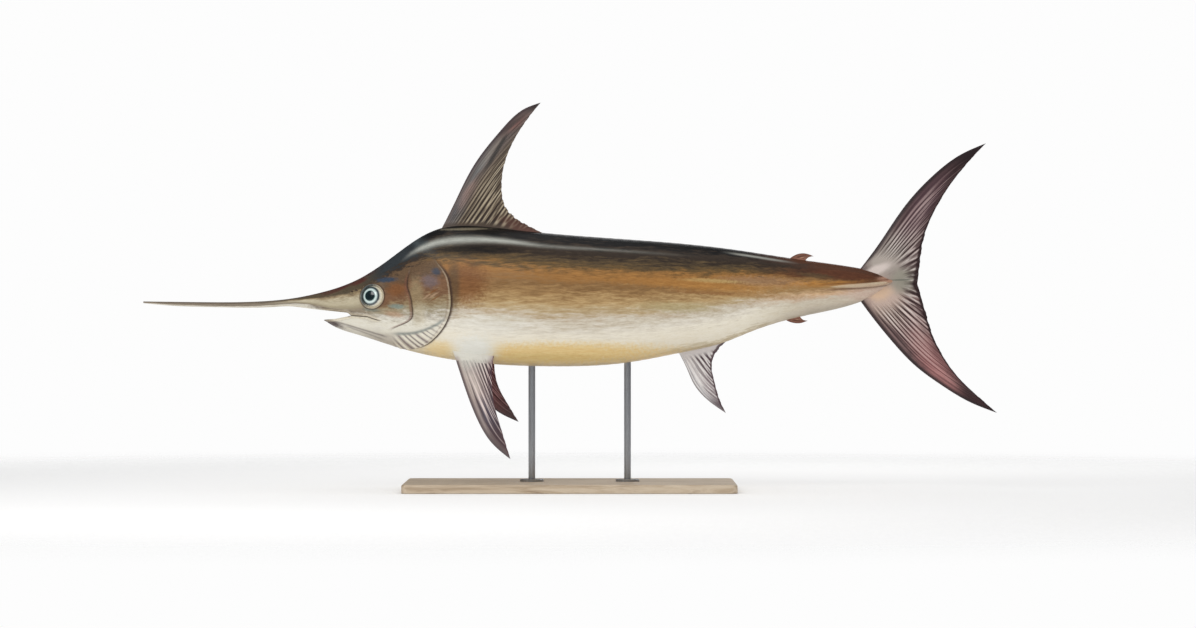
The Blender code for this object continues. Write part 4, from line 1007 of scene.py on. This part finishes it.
def fin_grid(spec):
    """A fin's middle plane. Columns run along its rays, and rows run from the root to the hind edge."""
    leading, trailing = smooth_path(spec["leading"]), smooth_path((spec["leading"][-1], *spec["trailing"]))
    rays = spec["rays"]
    v = np.linspace(0, 1, rays * COLUMNS_PER_RAY + 1)[None, :]
    along = np.linspace(0, 1, spec["rows"])[:, None]
    crest, split = ((0.5 - 0.5 * np.cos(2 * math.pi * rays * parts * v)) ** 1.1 for parts in (1, 2))
    ribs = mixed(crest, 0.8 * split + 0.2 * crest, ease(0.55, 0.92, along))
    start, tip = np.array(spec["leading"][0]), np.array(spec["leading"][-1])
    root = mixed(start, np.array(spec["last_root"]), (v ** spec["bias"])[..., None])

    def front_bow(share):
        return leading(share) - mixed(start, tip, share[..., None])

    # Each ray bends as the front edge does over the same length
    length = np.linalg.norm(trailing(v) - root, axis=-1)
    length = np.minimum(length / length[:, :1], 1)
    bow = front_bow(along * length) - front_bow(length) * along[..., None]
    place = mixed(root, trailing(v), along[..., None]) + bow * (1 - v)[..., None]
    # The hind edge is notched between the rays' ends
    ray_end = place[-1] - place[-2]
    ray_end /= np.linalg.norm(ray_end, axis=-1, keepdims=True) + 1e-9
    depth = np.random.default_rng(spec["seed"]).uniform(0.35, 1.25, rays + 1)
    depth = depth[np.minimum((v * rays).astype(int), rays)]
    inside = np.minimum(1, 8 * np.minimum(v, 1 - v))
    jag = spec["notch"] * (depth * (0.4 * crest + 0.6 * split * crest) - 0.7)
    place = place + (jag * inside * ease(0.9, 1.0, along))[..., None] * ray_end
    half = mixed(spec["edge_half"], spec["root_half"], (1 - along) ** 1.6)
    across, along, half = v + 0 * along, along + 0 * v, half + 0 * v
    return {"place": place, "across": across, "along": along, "rib": ribs, "half": half}


def fin_blade(name, spec, grid, edges, placed, height_over_body, fillet, sunk=0.0):
    """A fin as a closed blade with a raised rib along each ray. edges is 0 in front, 1 on the last ray."""
    behind, up = grid["place"][..., 0], grid["place"][..., 1]
    along, ribs = grid["along"], grid["rib"]
    over = height_over_body(behind, up)
    half = grid["half"] * (0.25 + 0.75 * np.sqrt(np.clip(edges / 0.04, 0, 1)))
    # The ribs fade near the body, and along the smooth front edge
    strength = (1 - 0.55 * along) * ease(-0.05, 0.10, along) * ease(0.005, 0.040, over)
    strength = strength * (1 - 0.8 * ease(0.16, 0.05, edges))
    half = half + spec["ridge"] * (ribs - 0.25) * strength * np.minimum(1, 20 * (1 - along) + 0.3)
    swell = fillet * np.clip(1 - over / (2.2 * fillet), 0, 1) ** 2
    outer = half - sunk * ease(0.050, 0.0, over) if sunk else half + swell
    left = placed(behind, up, -np.maximum(half + swell, LEAST_HALF))
    right = placed(behind, up, np.maximum(outer, LEAST_HALF))
    ring = np.concatenate([left, right[:, ::-1]], axis=1)
    index = np.arange(ring[..., 0].size).reshape(ring.shape[:2])
    width = index.shape[1] // 2
    quads = [grid_quads(index, closed=True)]
    for row, turned in ((0, -1), (-1, 1)):
        one, other = index[row, :width], index[row, ::-1][:width]
        quads.append(np.stack([one[:-1], other[:-1], other[1:], one[1:]], axis=-1)[:, ::turned])

    def doubled(values):
        return np.concatenate([values, values[:, ::-1]], axis=1).ravel()

    to_hind = (1 - along) * np.linalg.norm(grid["place"][-1:] - grid["place"][:1], axis=-1)
    fields = dict(rib=ribs, along=along, across=grid["across"], edges=edges, over=np.clip(over, -0.1, 1),
                  to_hind=to_hind)
    attributes = {key: doubled(values) for key, values in fields.items()}
    attributes["outer_face"] = np.concatenate([0 * ribs, 0 * ribs + 1], axis=1).ravel()
    attributes["place"] = np.stack([doubled(behind), doubled(up), doubled(0 * up)], axis=1)
    return add_mesh(name, ring.reshape(-1, 3), [np.concatenate(quads)], attributes)


def median_place(behind, up, aside):
    return world(behind, aside, up)


def tail_fin(name):
    """Both lobes as one blade, joined where their last rays meet."""
    upper, lower = fin_grid(UPPER_LOBE), fin_grid(LOWER_LOBE)
    joined = {key: np.concatenate([upper[key], lower[key][:, -2::-1]], axis=1) for key in upper}
    edges = joined["across"].copy()
    joined["across"][:, upper["across"].shape[1] :] *= -1

    def out_of_stock(behind, up):
        return np.hypot(behind - TAIL_STOCK[0], up - TAIL_STOCK[1]) - TAIL_STOCK_REACH

    return fin_blade(name, UPPER_LOBE, joined, edges, median_place, out_of_stock, 0.0002)


def pectoral_place(side, splay, sweep):
    """Where a place in the pectoral fin's own plane lies when the fin hangs from one flank."""
    length = -PECTORAL["leading"][-1][1]

    def placed(behind, up, thick):
        swept_behind = behind * math.cos(sweep) - up * math.sin(sweep)
        swept_up = behind * math.sin(sweep) + up * math.cos(sweep)
        out = thick + PECTORAL_BEND * np.clip(-swept_up / length, 0, 1.1) ** 2
        aside = PECTORAL_ROOT_ASIDE - swept_up * math.sin(splay) + out * math.cos(splay)
        rise = swept_up * math.cos(splay) + out * math.sin(splay)
        return world(PECTORAL_ROOT[0] + swept_behind, side * aside, PECTORAL_ROOT[1] + rise)

    return placed


def out_of_body(points):
    """About how far points are outside the plain body. Inside it the value is negative."""
    behind, up = points[..., 0] + TOTAL_LENGTH / 2, points[..., 2] - BILL_LEVEL
    aside, width = np.abs(points[..., 1]), half_width(behind)
    low = (widest(behind) - up) / (widest(behind) - belly(behind))
    side = width * np.sqrt(np.clip(1 - low**2, 0, 1)) ** lower_power(behind)
    return np.where(low > 0, np.maximum(aside - side, 0.7 * (belly(behind) - up)), aside - width)


def make_fins():
    """All the fins. The last numbers are the root's fillet, and how deep its outer face is sunk there."""
    def over_back(behind, up):
        return up - back(behind)

    def under_belly(behind, up):
        return belly(behind) - up

    def beside(placed):
        return lambda behind, up: out_of_body(placed(behind, up, 0.0))

    def single(name, spec, placed, height_over_body, *root):
        grid = fin_grid(spec)
        return fin_blade(name, spec, grid, grid["across"], placed, height_over_body, *root)

    left, right = pectoral_place(-1, LEFT_SPLAY, 0.0), pectoral_place(1, RIGHT_SPLAY, RIGHT_SWEEP)
    return {
        "first_dorsal": single("first_dorsal", FIRST_DORSAL, median_place, over_back, 0.010),
        "second_dorsal": single("second_dorsal", SECOND_DORSAL, median_place, over_back, 0.004),
        "first_anal": single("first_anal", FIRST_ANAL, median_place, under_belly, 0.008),
        "second_anal": single("second_anal", SECOND_ANAL, median_place, under_belly, 0.004),
        "tail_fin": tail_fin("tail_fin"),
        "pectoral_left": single("pectoral_left", PECTORAL, left, beside(left), 0.012, 0.009),
        "pectoral_right": single("pectoral_right", PECTORAL, right, beside(right), 0.012, 0.004),
    }


def make_eye(name, side):
    """An eyeball with a domed cornea over the pupil, turned on the skin's own frame."""
    rings, sides = 90, 160
    slope = np.linspace(0.004, 1, rings) * EYE_TURN
    slope, around = np.meshgrid(slope, np.linspace(0, 2 * math.pi, sides, endpoint=False), indexing="ij")
    # The last point is the top of the ball
    slope, around = np.append(slope, 0), np.append(around, 0)
    x, y = EYE_RADIUS * np.sin(slope) * np.cos(around), EYE_RADIUS * np.sin(slope) * np.sin(around)
    from_pupil = np.hypot(x - PUPIL_PLACE[0], y - PUPIL_PLACE[1])
    z = EYE_DEPTH * np.cos(slope) - EYE_SUNK + CORNEA_HEIGHT * np.exp(-((from_pupil / CORNEA_RADIUS) ** 4))
    matrix = np.array(side_frame(EYE_PLACE, side))
    placed = np.stack([x, y, z], axis=-1) @ matrix[:3, :3].T + matrix[:3, 3]
    index = np.arange(rings * sides).reshape(rings, sides)
    cap = np.stack([np.full(sides, rings * sides), index[0], np.roll(index[0], -1)], axis=1)
    turn = np.arctan2(y - PUPIL_PLACE[1], x - PUPIL_PLACE[0])
    attributes = {
        "from_pupil": from_pupil,
        "spoke": np.stack([np.cos(turn), np.sin(turn), from_pupil * 18], axis=1),
    }
    return add_mesh(name, placed, [grid_quads(index, closed=True), cap], attributes)


class Wiring:
    """Adds nodes to a shader tree and joins them."""

    def __init__(self, tree):
        self.tree = tree

    def feed(self, socket, value):
        if isinstance(value, bpy.types.NodeSocket):
            self.tree.links.new(value, socket)
        else:
            socket.default_value = value

    def add(self, kind, inputs=None, **settings):
        node = self.tree.nodes.new("ShaderNode" + kind)
        for key, value in settings.items():
            setattr(node, key, value)
        for key, value in (inputs or {}).items():
            self.feed(node.inputs[key], value)
        return node

    def maths(self, operation, *values, clamp=False):
        return self.add("Math", dict(enumerate(values)), operation=operation, use_clamp=clamp).outputs[0]

    def times(self, product, *values):
        for value in values:
            if not isinstance(value, float) or value != 1.0:
                product = self.maths("MULTIPLY", product, value)
        return product

    def plus(self, total, *values):
        for value in values:
            total = self.maths("ADD", total, value)
        return total

    def less(self, first, second):
        return self.maths("SUBTRACT", first, second)

    def swing(self, pattern, amount):
        """A pattern round 0.5, as a push to both sides of 0."""
        return self.times(self.less(pattern, 0.5), amount)

    def vector(self, operation, *values):
        node = self.add("VectorMath", dict(enumerate(values)), operation=operation)
        return node.outputs["Value" if operation in ("LENGTH", "DOT_PRODUCT") else "Vector"]

    def combined(self, x, y, z):
        return self.add("CombineXYZ", {"X": x, "Y": y, "Z": z}).outputs[0]

    def own_place(self):
        return self.add("TexCoord").outputs["Object"]

    def mask(self, value, low, high):
        """0 below low and 1 above high, with a smooth step between. It also runs downwards."""
        inputs = {"Value": value, "From Min": low, "From Max": high}
        return self.add("MapRange", inputs, interpolation_type="SMOOTHSTEP").outputs["Result"]

    def colours(self, factor, first, second, blend="MIX"):
        """A mix of two colours, each one a socket, a name in PAINTS or a colour in 0..255."""
        node = self.add("Mix", data_type="RGBA", blend_type=blend)
        for key, value in ((0, factor), (6, first), (7, second)):
            self.feed(node.inputs[key], paint(value) if isinstance(value, (str, tuple)) else value)
        return node.outputs[2]

    def tint(self, colour, mask, shade, strength=1.0):
        """A colour with a shade laid over it where the mask is."""
        return self.colours(self.times(mask, strength), colour, shade)

    def ramp(self, value, stops):
        """A run of colours. Each stop is a position and a paint."""
        node = self.add("ValToRGB", {0: value})
        elements = node.color_ramp.elements
        while len(elements) < len(stops):
            elements.new(0.5)
        for element, (position, shade) in zip(elements, stops):
            element.position = position
            element.color = paint(shade)
        return node.outputs["Color"]

    def value_at(self, name):
        return self.add("Attribute", attribute_type="GEOMETRY", attribute_name=name).outputs["Fac"]

    def vector_at(self, name):
        return self.add("Attribute", attribute_type="GEOMETRY", attribute_name=name).outputs["Vector"]

    def noise(self, vector, scale, detail=4.0, rough=0.55, distortion=0.0):
        inputs = {"Vector": vector, "Scale": scale, "Detail": detail, "Roughness": rough}
        return self.add("TexNoise", {**inputs, "Distortion": distortion}).outputs["Fac"]

    def group(self, tree, **values):
        node = self.tree.nodes.new("ShaderNodeGroup")
        node.node_tree = tree
        for key, value in values.items():
            self.feed(node.inputs[key.capitalize()], value)
        return node.outputs[0]


def paint(shade):
    """A name in PAINTS, or a colour as it looks in 0..255, as the light that a shader works in."""
    share = np.array(PAINTS.get(shade, shade), float) / 255
    linear = np.where(share <= 0.04045, share / 12.92, ((share + 0.055) / 1.055) ** 2.4)
    return (*linear.tolist(), 1.0)


def new_group(name, output, **inputs):
    """A node group with one output, and its inputs as names and first values."""
    tree = bpy.data.node_groups.new(name, "ShaderNodeTree")
    for label, value in inputs.items():
        kind = "NodeSocketVector" if isinstance(value, tuple) else "NodeSocketFloat"
        tree.interface.new_socket(label, in_out="INPUT", socket_type=kind).default_value = value
    tree.interface.new_socket(output, in_out="OUTPUT", socket_type="NodeSocketFloat")
    entry, leave = tree.nodes.new("NodeGroupInput"), tree.nodes.new("NodeGroupOutput")
    return tree, Wiring(tree), entry.outputs, leave.inputs[output]


def make_soft_patch():
    """A ragged oval mark. It puts out its mask."""
    tree, wires, given, result = new_group(
        "soft_patch", "Mask",
        Place=(0, 0, 0), Centre=(0, 0, 0), Size=(0.02, 0.01, 1), Turned=0.0, Ragged=0.3, Grain=SKIN_GRAIN,
    )
    away = wires.vector("SUBTRACT", given["Place"], given["Centre"])
    turned = wires.add("VectorRotate", {"Vector": away, "Angle": given["Turned"]}, rotation_type="Z_AXIS")
    scaled = wires.vector("DIVIDE", turned.outputs[0], given["Size"])
    grain = wires.swing(wires.noise(given["Place"], given["Grain"], 5.0), 2.4)
    far = wires.plus(wires.vector("LENGTH", scaled), wires.times(grain, given["Ragged"]))
    wires.feed(result, wires.mask(far, 1.25, 0.35))
    return tree


def make_streaks():
    """Brushed streaks that run along the fish. It puts out a value round 0.5."""
    tree, wires, given, result = new_group("long_streaks", "Value", Length=12.0, Width=110.0, Wander=0.3)
    place = wires.own_place()
    scale = wires.combined(given["Length"], given["Width"], given["Width"])
    stretched = wires.vector("MULTIPLY", place, scale)
    drift = wires.times(wires.noise(place, 7.0, 2.0), given["Wander"], 12.0)
    wandered = wires.vector("ADD", stretched, wires.combined(0.0, drift, drift))
    wires.feed(result, wires.noise(wandered, 1.0, 5.0, 0.6))
    return tree


def make_grain():
    """The fine grain of skin. It puts out a height round 0.5."""
    tree, wires, given, result = new_group("skin_grain", "Height", Fine=900.0, Coarse=140.0)
    place = wires.own_place()
    fine = wires.noise(place, given["Fine"], 3.0, 0.6)
    coarse = wires.noise(place, given["Coarse"], 4.0, 0.5)
    wires.feed(result, wires.plus(wires.times(fine, 0.45), wires.times(coarse, 0.55)))
    return tree


def new_material(name):
    material = bpy.data.materials.new(name)
    material.use_nodes = True
    return material, Wiring(material.node_tree), material.node_tree.nodes["Principled BSDF"]


def finish(wires, shader, colour, smoothest, patchy, patches, bump=None, **constants):
    """Joins a finish to its shader. Its roughness is smoothest, and patchy more where the patches are 1."""
    wires.feed(shader.inputs["Base Color"], colour)
    wires.feed(shader.inputs["Roughness"], wires.plus(smoothest, wires.times(patches, patchy)))
    for label, value in constants.items():
        shader.inputs[label.replace("_", " ")].default_value = value
    if bump:
        height, strength, distance = bump
        node = wires.add("Bump", {"Height": height, "Strength": strength, "Distance": distance})
        wires.feed(shader.inputs["Normal"], node.outputs[0])


def laid_over(wires, groups, colour, marks, grain, through=1.0):
    """Lays marks over a colour, one after another. They show where the pattern through them is 1."""
    place = wires.vector_at("place")
    for shade, strength, centre, size, turned, ragged in marks:
        mask = wires.group(groups["patch"], place=place, centre=(*centre, 0), size=(*size, 1),
                           turned=turned, ragged=ragged, grain=grain)
        colour = wires.tint(colour, wires.times(mask, through), shade, strength)
    return colour


def fold_wave(wires):
    """The folds of the gill membrane as the relief has them: 1 on a fold and -1 between two."""
    level = wires.vector("SUBTRACT", wires.vector_at("place"), (*FOLD_START, 0))
    across = wires.vector("DOT_PRODUCT", level, (*FOLD_SLOPE, 0))
    along = wires.vector("DOT_PRODUCT", level, (FOLD_SLOPE[1], -FOLD_SLOPE[0], 0))
    across = wires.less(across, wires.times(along, along, FOLD_BOW))
    drift = wires.maths("SINE", wires.times(across, 2 * math.pi / FOLD_PERIOD))
    turn = wires.times(across, 2 * math.pi / FOLD_PITCH)
    return wires.maths("COSINE", wires.plus(turn, wires.times(drift, FOLD_WANDER)))


def skin_material(groups):
    """Bands from back to belly for each stretch of the fish, marks over them, and the plates' lines, some
    of them painted highlight and painted shade.
    """
    material, wires, shader = new_material("swordfish_skin")
    behind, orbit, membrane = (wires.value_at(key) for key in ("behind", "orbit", "membrane"))
    brush = wires.group(groups["streaks"], length=16.0, width=110.0, wander=0.12)
    long_brush = wires.group(groups["streaks"], length=5.0, width=60.0, wander=0.10)
    fine = wires.group(groups["streaks"], length=42.0, width=460.0, wander=0.2)
    shift = wires.plus(wires.swing(brush, 0.20), wires.swing(long_brush, 0.14), wires.swing(fine, 0.07))
    band = wires.maths("ADD", wires.value_at("down"), shift, clamp=True)

    def joined(stretch, front, rear):
        return wires.colours(wires.mask(behind, *stretch), front, rear)

    flank = laid_over(wires, groups, wires.ramp(band, FLANK_BANDS), BODY_MARKS, SKIN_GRAIN)
    rear = laid_over(wires, groups, wires.ramp(band, REAR_BANDS), TAIL_MARKS, SKIN_GRAIN)
    body = joined(REAR_FROM, flank, rear)
    head = joined(SNOUT_FROM, wires.ramp(band, BILL_BANDS), wires.ramp(band, SNOUT_BANDS))
    head = joined(HEAD_FROM, head, wires.ramp(band, HEAD_BANDS))
    head = laid_over(wires, groups, head, HEAD_MARKS, SKIN_GRAIN)

    def line(plate, low, high, soft):
        """A band between two distances past a plate's edge, a little uneven."""
        past = wires.plus(wires.value_at("past_" + plate), wires.swing(brush, 0.006))
        starts, ends = wires.mask(past, low - soft, low + soft), wires.mask(past, high + soft, high - soft)
        return wires.times(starts, ends, wires.value_at(plate + "_line"))

    for *place, shade, strength in HEAD_LINES:
        head = wires.tint(head, line(*place), shade, strength)
    # Painted shadow on the body just behind the gill cover's free edge
    body = wires.tint(body, line("gill", -0.010, 0.0070, 0.0035), "line brown", 0.70)
    # Head and body part at the gill cover's free edge, and softly over the nape, where it has none
    nape = wires.mask(wires.plus(wires.value_at("past_gill"), wires.times(shift, 0.5)), -0.075, 0.035)
    flap = wires.mask(wires.value_at("cover"), 1.4, 1.6)
    free = wires.mask(wires.value_at("gill_line"), 0.0, 0.15)
    split = wires.plus(wires.times(flap, free), wires.times(nape, wires.less(1.0, free)))
    colour = wires.colours(split, head, body)

    wave = fold_wave(wires)
    # Painted highlight along the back, broken up by the fine brush pattern
    back_highlight = wires.times(wires.value_at("back_highlight"), wires.mask(fine, 0.08, 0.42))
    rear_of_eye = wires.mask(wires.less(behind, wires.times(wires.value_at("up"), 0.5)), 0.775, 0.815)
    # furrow is the painted shade between the membrane's folds
    furrow = wires.times(membrane, wires.mask(wave, -0.30, -1.0), wires.mask(brush, 0.12, 0.45))
    for mask, shade, strength in (
        (back_highlight, "highlight grey", 0.92),
        (wires.value_at("keel_edge"), "peduncle brown", 0.55),
        (wires.mask(wires.value_at("keel"), 0.55, 1.1), "cream", 0.65),
        (wires.value_at("lip"), "cream", 0.45),
        (orbit, "steel", 0.85),
        (wires.times(orbit, rear_of_eye), "cream", 0.90),
        (wires.value_at("ring"), "line brown", 0.80),
        # Painted shade in the groove that crosses the folds
        (wires.value_at("crossing"), "fold grey", 0.80),
        # Painted highlight on the crests of the membrane's folds
        (wires.times(membrane, wires.mask(wave, 0.0, 0.8)), "pearl", 0.75),
        # Painted shade in the furrows between the folds
        (furrow, "fold mauve", 0.70),
        # Painted shade in the jaw folds and the nostril pits
        (wires.value_at("fold"), "line purple", 0.75),
        (wires.value_at("inside"), "mouth red", 0.9),
        # Painted shade in the plates' grooves, the shut mouth's groove and inside the mouth
        (wires.value_at("dark"), "line brown", 0.70),
    ):
        colour = wires.tint(colour, mask, shade, strength)
    strokes = wires.add("MapRange", {"Value": brush, "From Min": 0.33, "From Max": 0.67}).outputs["Result"]
    strokes = wires.colours(strokes, (78, 70, 62), (196, 194, 190))
    speckle = wires.colours(wires.mask(fine, 0.30, 0.70), (70, 62, 54), (235, 232, 226))
    colour = wires.colours(0.22, colour, strokes, "OVERLAY")
    colour = wires.colours(0.22, colour, speckle, "SOFT_LIGHT")
    grain = wires.group(groups["grain"], fine=1100.0, coarse=260.0)
    height = wires.plus(wires.times(grain, 0.6), wires.times(fine, 0.5))
    finish(wires, shader, colour, 0.38, 0.18, wires.noise(wires.own_place(), 14.0), (height, 0.18, 0.002),
           Specular_IOR_Level=0.20, Coat_Weight=0.07, Coat_Roughness=0.14)
    return material


def fin_paint(wires, groups, look):
    """Membrane and pale rays, with dark lines beside them, a darker front edge and a hind margin."""
    along, edges, rib, over, to_hind = (
        wires.value_at(key) for key in ("along", "edges", "rib", "over", "to_hind")
    )

    def brushed(across_scale, along_scale, shift, detail):
        """Noise stretched along the rays."""
        across = wires.times(wires.value_at("across"), across_scale)
        return wires.noise(wires.combined(across, wires.times(along, along_scale), shift), 1.0, detail)

    def marks(colour, which):
        ragged = [(*mark, FIN_RAGGED) for mark in look[which]]
        return laid_over(wires, groups, colour, ragged, FIN_GRAIN, wires.mask(broad, 0.12, 0.42))

    stripes, broad = brushed(70.0, 3.0, 0.0, 3.0), brushed(look["broad"], 1.6, 3.0, 2.0)
    colour = wires.colours(wires.mask(edges, *look["front_to"]), look["front"], look["web"])
    colour = marks(colour, "marks")
    # Towards the body the fin is calm: its rays and gaps begin at this height, unevenly
    calm_start, calm_end = look["calm"]
    clear = wires.less(over, wires.times(stripes, calm_end * 0.6))
    clear = wires.plus(clear, wires.swing(edges, look["slant"]))
    rayed = wires.mask(clear, calm_start, calm_end)
    streaks = wires.times(wires.mask(broad, 0.50, 0.36), rayed)
    colour = wires.tint(colour, streaks, look["gap"], look["streaks"])
    gaps = wires.times(wires.mask(rib, *look["gap_width"]), wires.mask(edges, *look["gap_from"]), rayed)
    colour = wires.tint(colour, wires.times(gaps, wires.mask(stripes, 0.22, 0.50)), look["gap"])
    rays = wires.times(wires.mask(rib, 0.45, 0.85), wires.mask(edges, *look["ray_from"]), rayed)
    ray_paint = wires.colours(wires.mask(over, 0.22, 0.04), look["ray"], look["root_ray"])
    colour = wires.tint(colour, wires.times(rays, wires.mask(broad, 0.36, 0.52)), ray_paint, 0.85)
    hairs = wires.times(wires.mask(stripes, 0.56, 0.36), wires.mask(clear, 0.0, 0.03))
    colour = wires.tint(colour, hairs, look["gap"], look["hairs"])
    uneven = wires.times(stripes, 0.05)
    hind_third = wires.mask(wires.plus(to_hind, uneven), 0.17, 0.07)
    hind_third = wires.times(hind_third, wires.mask(over, 0.13, 0.27))
    colour = wires.tint(colour, hind_third, look["hind"], look["hind_third"])
    front_edge = wires.times(wires.mask(wires.plus(edges, uneven), 0.14, 0.04), wires.mask(over, 0.0, 0.05))
    colour = wires.tint(colour, front_edge, look["front"], look["front_edge"])
    colour = marks(colour, "shades")
    margin = look["margin"]
    hind = wires.mask(wires.plus(to_hind, wires.swing(stripes, margin)), margin * 1.15, margin * 0.65)
    colour = wires.tint(colour, hind, look["hind"], look["hind_strength"])
    clear = wires.mask(clear, calm_start - 0.01, calm_start + 0.01)
    front_line = wires.times(wires.mask(edges, 0.055, 0.015), clear)
    return wires.tint(colour, front_line, look["edge_line"], 0.85), stripes


def fin_material(name, groups, look, inner_look=None):
    """A fin's finish. inner_look paints the face that lies against the body when it isn't the same; on the
    pectorals it is darker, partly the fin's own colour and partly painted shade.
    """
    material, wires, shader = new_material(name)
    colour, stripes = fin_paint(wires, groups, look)
    if inner_look:
        inner, _ = fin_paint(wires, groups, inner_look)
        colour = wires.colours(wires.value_at("outer_face"), inner, colour)
    grain = wires.group(groups["grain"], fine=900.0, coarse=300.0)
    height = wires.plus(wires.times(grain, 0.5), wires.times(stripes, 0.8))
    finish(wires, shader, colour, 0.38, 0.2, wires.noise(wires.own_place(), 42.0), (height, 0.2, 0.0015),
           Specular_IOR_Level=0.20, Coat_Weight=0.06, Coat_Roughness=0.15)
    return material


def eye_material():
    """Black-teal pupil, silver iris with fine spokes, a dark ring, and the pale white of the eye."""
    material, wires, shader = new_material("wet_eye")
    spokes = wires.noise(wires.vector_at("spoke"), 9.0)
    away = wires.plus(wires.times(wires.value_at("from_pupil"), 20.0), wires.swing(spokes, 0.035))
    fibres = wires.colours(wires.mask(spokes, 0.32, 0.70), (60, 80, 84), (245, 250, 246))
    colour = wires.colours(0.22, wires.ramp(away, EYE_RINGS), fibres, "SOFT_LIGHT")
    finish(wires, shader, colour, 0.14, 0.08, wires.noise(wires.own_place(), 160.0, 2.0),
           Coat_Weight=1.0, Coat_Roughness=0.03)
    return material


def wood_material():
    material, wires, shader = new_material("limed_wood")
    place = wires.own_place()
    rings = wires.noise(wires.vector("MULTIPLY", place, (2.2, 26.0, 26.0)), 1.6, 6.0, 0.6, 1.2)
    pores = wires.noise(wires.vector("MULTIPLY", place, (30.0, 520.0, 520.0)), 1.0, 3.0)
    colour = wires.tint(wires.ramp(rings, WOOD_RINGS), wires.mask(pores, 0.60, 0.75), (128, 106, 84), 0.45)
    finish(wires, shader, colour, 0.38, 0.2, pores, (wires.plus(rings, pores), 0.12, 0.001),
           Coat_Weight=0.15, Coat_Roughness=0.25)
    return material


def steel_material():
    material, wires, shader = new_material("brushed_steel")
    brushed = wires.noise(wires.vector("MULTIPLY", wires.own_place(), (60.0, 60.0, 2400.0)), 1.0, 3.0)
    colour = wires.colours(brushed, (168, 170, 174), (206, 208, 211))
    finish(wires, shader, colour, 0.22, 0.22, brushed, (brushed, 0.08, 0.0004), Metallic=1.0)
    return material


def make_floor():
    """A pale studio floor that fades out at its edge. It isn't part of the model."""
    rings, sides = 24, 96
    radii = np.linspace(0.05, FLOOR_RADIUS, rings)[:, None]
    around = np.linspace(0, 2 * math.pi, sides, endpoint=False)[None, :]
    level = FLOOR_LEVEL + 0 * radii * around
    points = np.stack([radii * np.cos(around), radii * np.sin(around), level], axis=-1)
    quads = grid_quads(np.arange(rings * sides).reshape(rings, sides), closed=True)
    floor = add_mesh("studio_floor", points.reshape(-1, 3), [quads], {"far": (radii + 0 * around).ravel()})
    material, wires, shader = new_material("studio_floor")
    wires.feed(shader.inputs["Base Color"], paint(FLOOR_WHITE))
    shader.inputs["Roughness"].default_value = 0.9
    shader.inputs["Specular IOR Level"].default_value = 0.1
    wires.feed(shader.inputs["Alpha"], wires.mask(wires.value_at("far"), *FLOOR_FADE))
    floor.data.materials.append(material)


def light_studio():
    """An even white surround, and soft lights over, in front of and behind the fish."""
    scene = bpy.context.scene
    scene.view_settings.view_transform = "Standard"
    surround = bpy.data.worlds.new("white_studio")
    surround.use_nodes = True
    scene.world = surround
    wires = Wiring(surround.node_tree)
    shell = surround.node_tree.nodes["Background"]
    path = wires.add("LightPath")
    light = wires.colours(path.outputs["Is Glossy Ray"], STUDIO_WHITE, REFLECTED_GREY)
    light = wires.colours(path.outputs["Is Camera Ray"], light, BACKDROP_WHITE)
    wires.feed(shell.inputs["Color"], light)
    shell.inputs["Strength"].default_value = 1.0
    for name, place, aim, (width, depth), power in SOFT_LIGHTS:
        data = bpy.data.lights.new(name, "AREA")
        data.shape = "RECTANGLE"
        data.size, data.size_y, data.energy = width, depth, power
        light = link(bpy.data.objects.new(name, data))
        light.location = place
        light.rotation_euler = (Vector(aim) - Vector(place)).to_track_quat("-Z", "Y").to_euler()


def place_camera():
    """A long lens square to the fish's side, with the fish where the picture has it."""
    data = bpy.data.cameras.new("camera")
    data.lens, data.sensor_width, data.sensor_fit = LENS, SENSOR, "HORIZONTAL"
    data.clip_end = 200
    camera = link(bpy.data.objects.new("camera", data))
    behind = (PICTURE_WIDTH / 2 - TIP_COLUMN) * PICTURE_SCALE
    height = (FLOOR_ROW - PICTURE_HEIGHT / 2) * PICTURE_SCALE
    camera.location = (behind - TOTAL_LENGTH / 2, -PICTURE_WIDTH * PICTURE_SCALE * LENS / SENSOR, height)
    camera.rotation_euler = (math.radians(90), 0, 0)
    bpy.context.scene.camera = camera


def main():
    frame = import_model()
    groups = {"patch": make_soft_patch(), "streaks": make_streaks(), "grain": make_grain()}
    finishes = {
        name: fin_material(name, groups, look) for name, look in FINS.items() if "pectoral" not in name
    }
    finishes["pectoral"] = fin_material("pectoral", groups, FINS["pectoral_outer"], FINS["pectoral_inner"])

    skin = make_skin()
    skin.data.materials.append(skin_material(groups))
    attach(skin, "root")
    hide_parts("bill", "head", "lower_jaw", "torso", "tail", "gill_cover_left", "gill_cover_right",
                "keel_left", "keel_right")

    wet_eye = eye_material()
    for word, side in (("left", -1), ("right", 1)):
        eye = make_eye(f"eyeball_{word}", side)
        eye.data.materials.append(wet_eye)
        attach(eye, "root")
        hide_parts(f"eye_{word}")

    fins = make_fins()
    for name, look, slot, *replaced in (
        ("first_dorsal", "first_dorsal", "fin_dark", "first_dorsal_fin"),
        ("second_dorsal", "second_fin", "fin_dark", "second_dorsal_fin"),
        ("first_anal", "first_anal", "fin_pale", "first_anal_fin"),
        ("second_anal", "second_fin", "fin_pale", "second_anal_fin"),
        ("tail_fin", "tail_fin", "fin_dark", "caudal_fin_upper", "caudal_fin_lower"),
        ("pectoral_left", "pectoral", "fin_pale", "pectoral_fin_left"),
        ("pectoral_right", "pectoral", "fin_pale", "pectoral_fin_right"),
    ):
        fin = fins[name]
        fin.data.materials.append(finishes[look])
        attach(fin, "root")
        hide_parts(*replaced)

    wood, steel = wood_material(), steel_material()
    for name, material in (("stand_base", wood), ("stand_rod_front", steel), ("stand_rod_rear", steel)):
        for slot in frame["nodes"][name].material_slots:
            slot.material = material
    make_floor()
    light_studio()
    place_camera()


main()
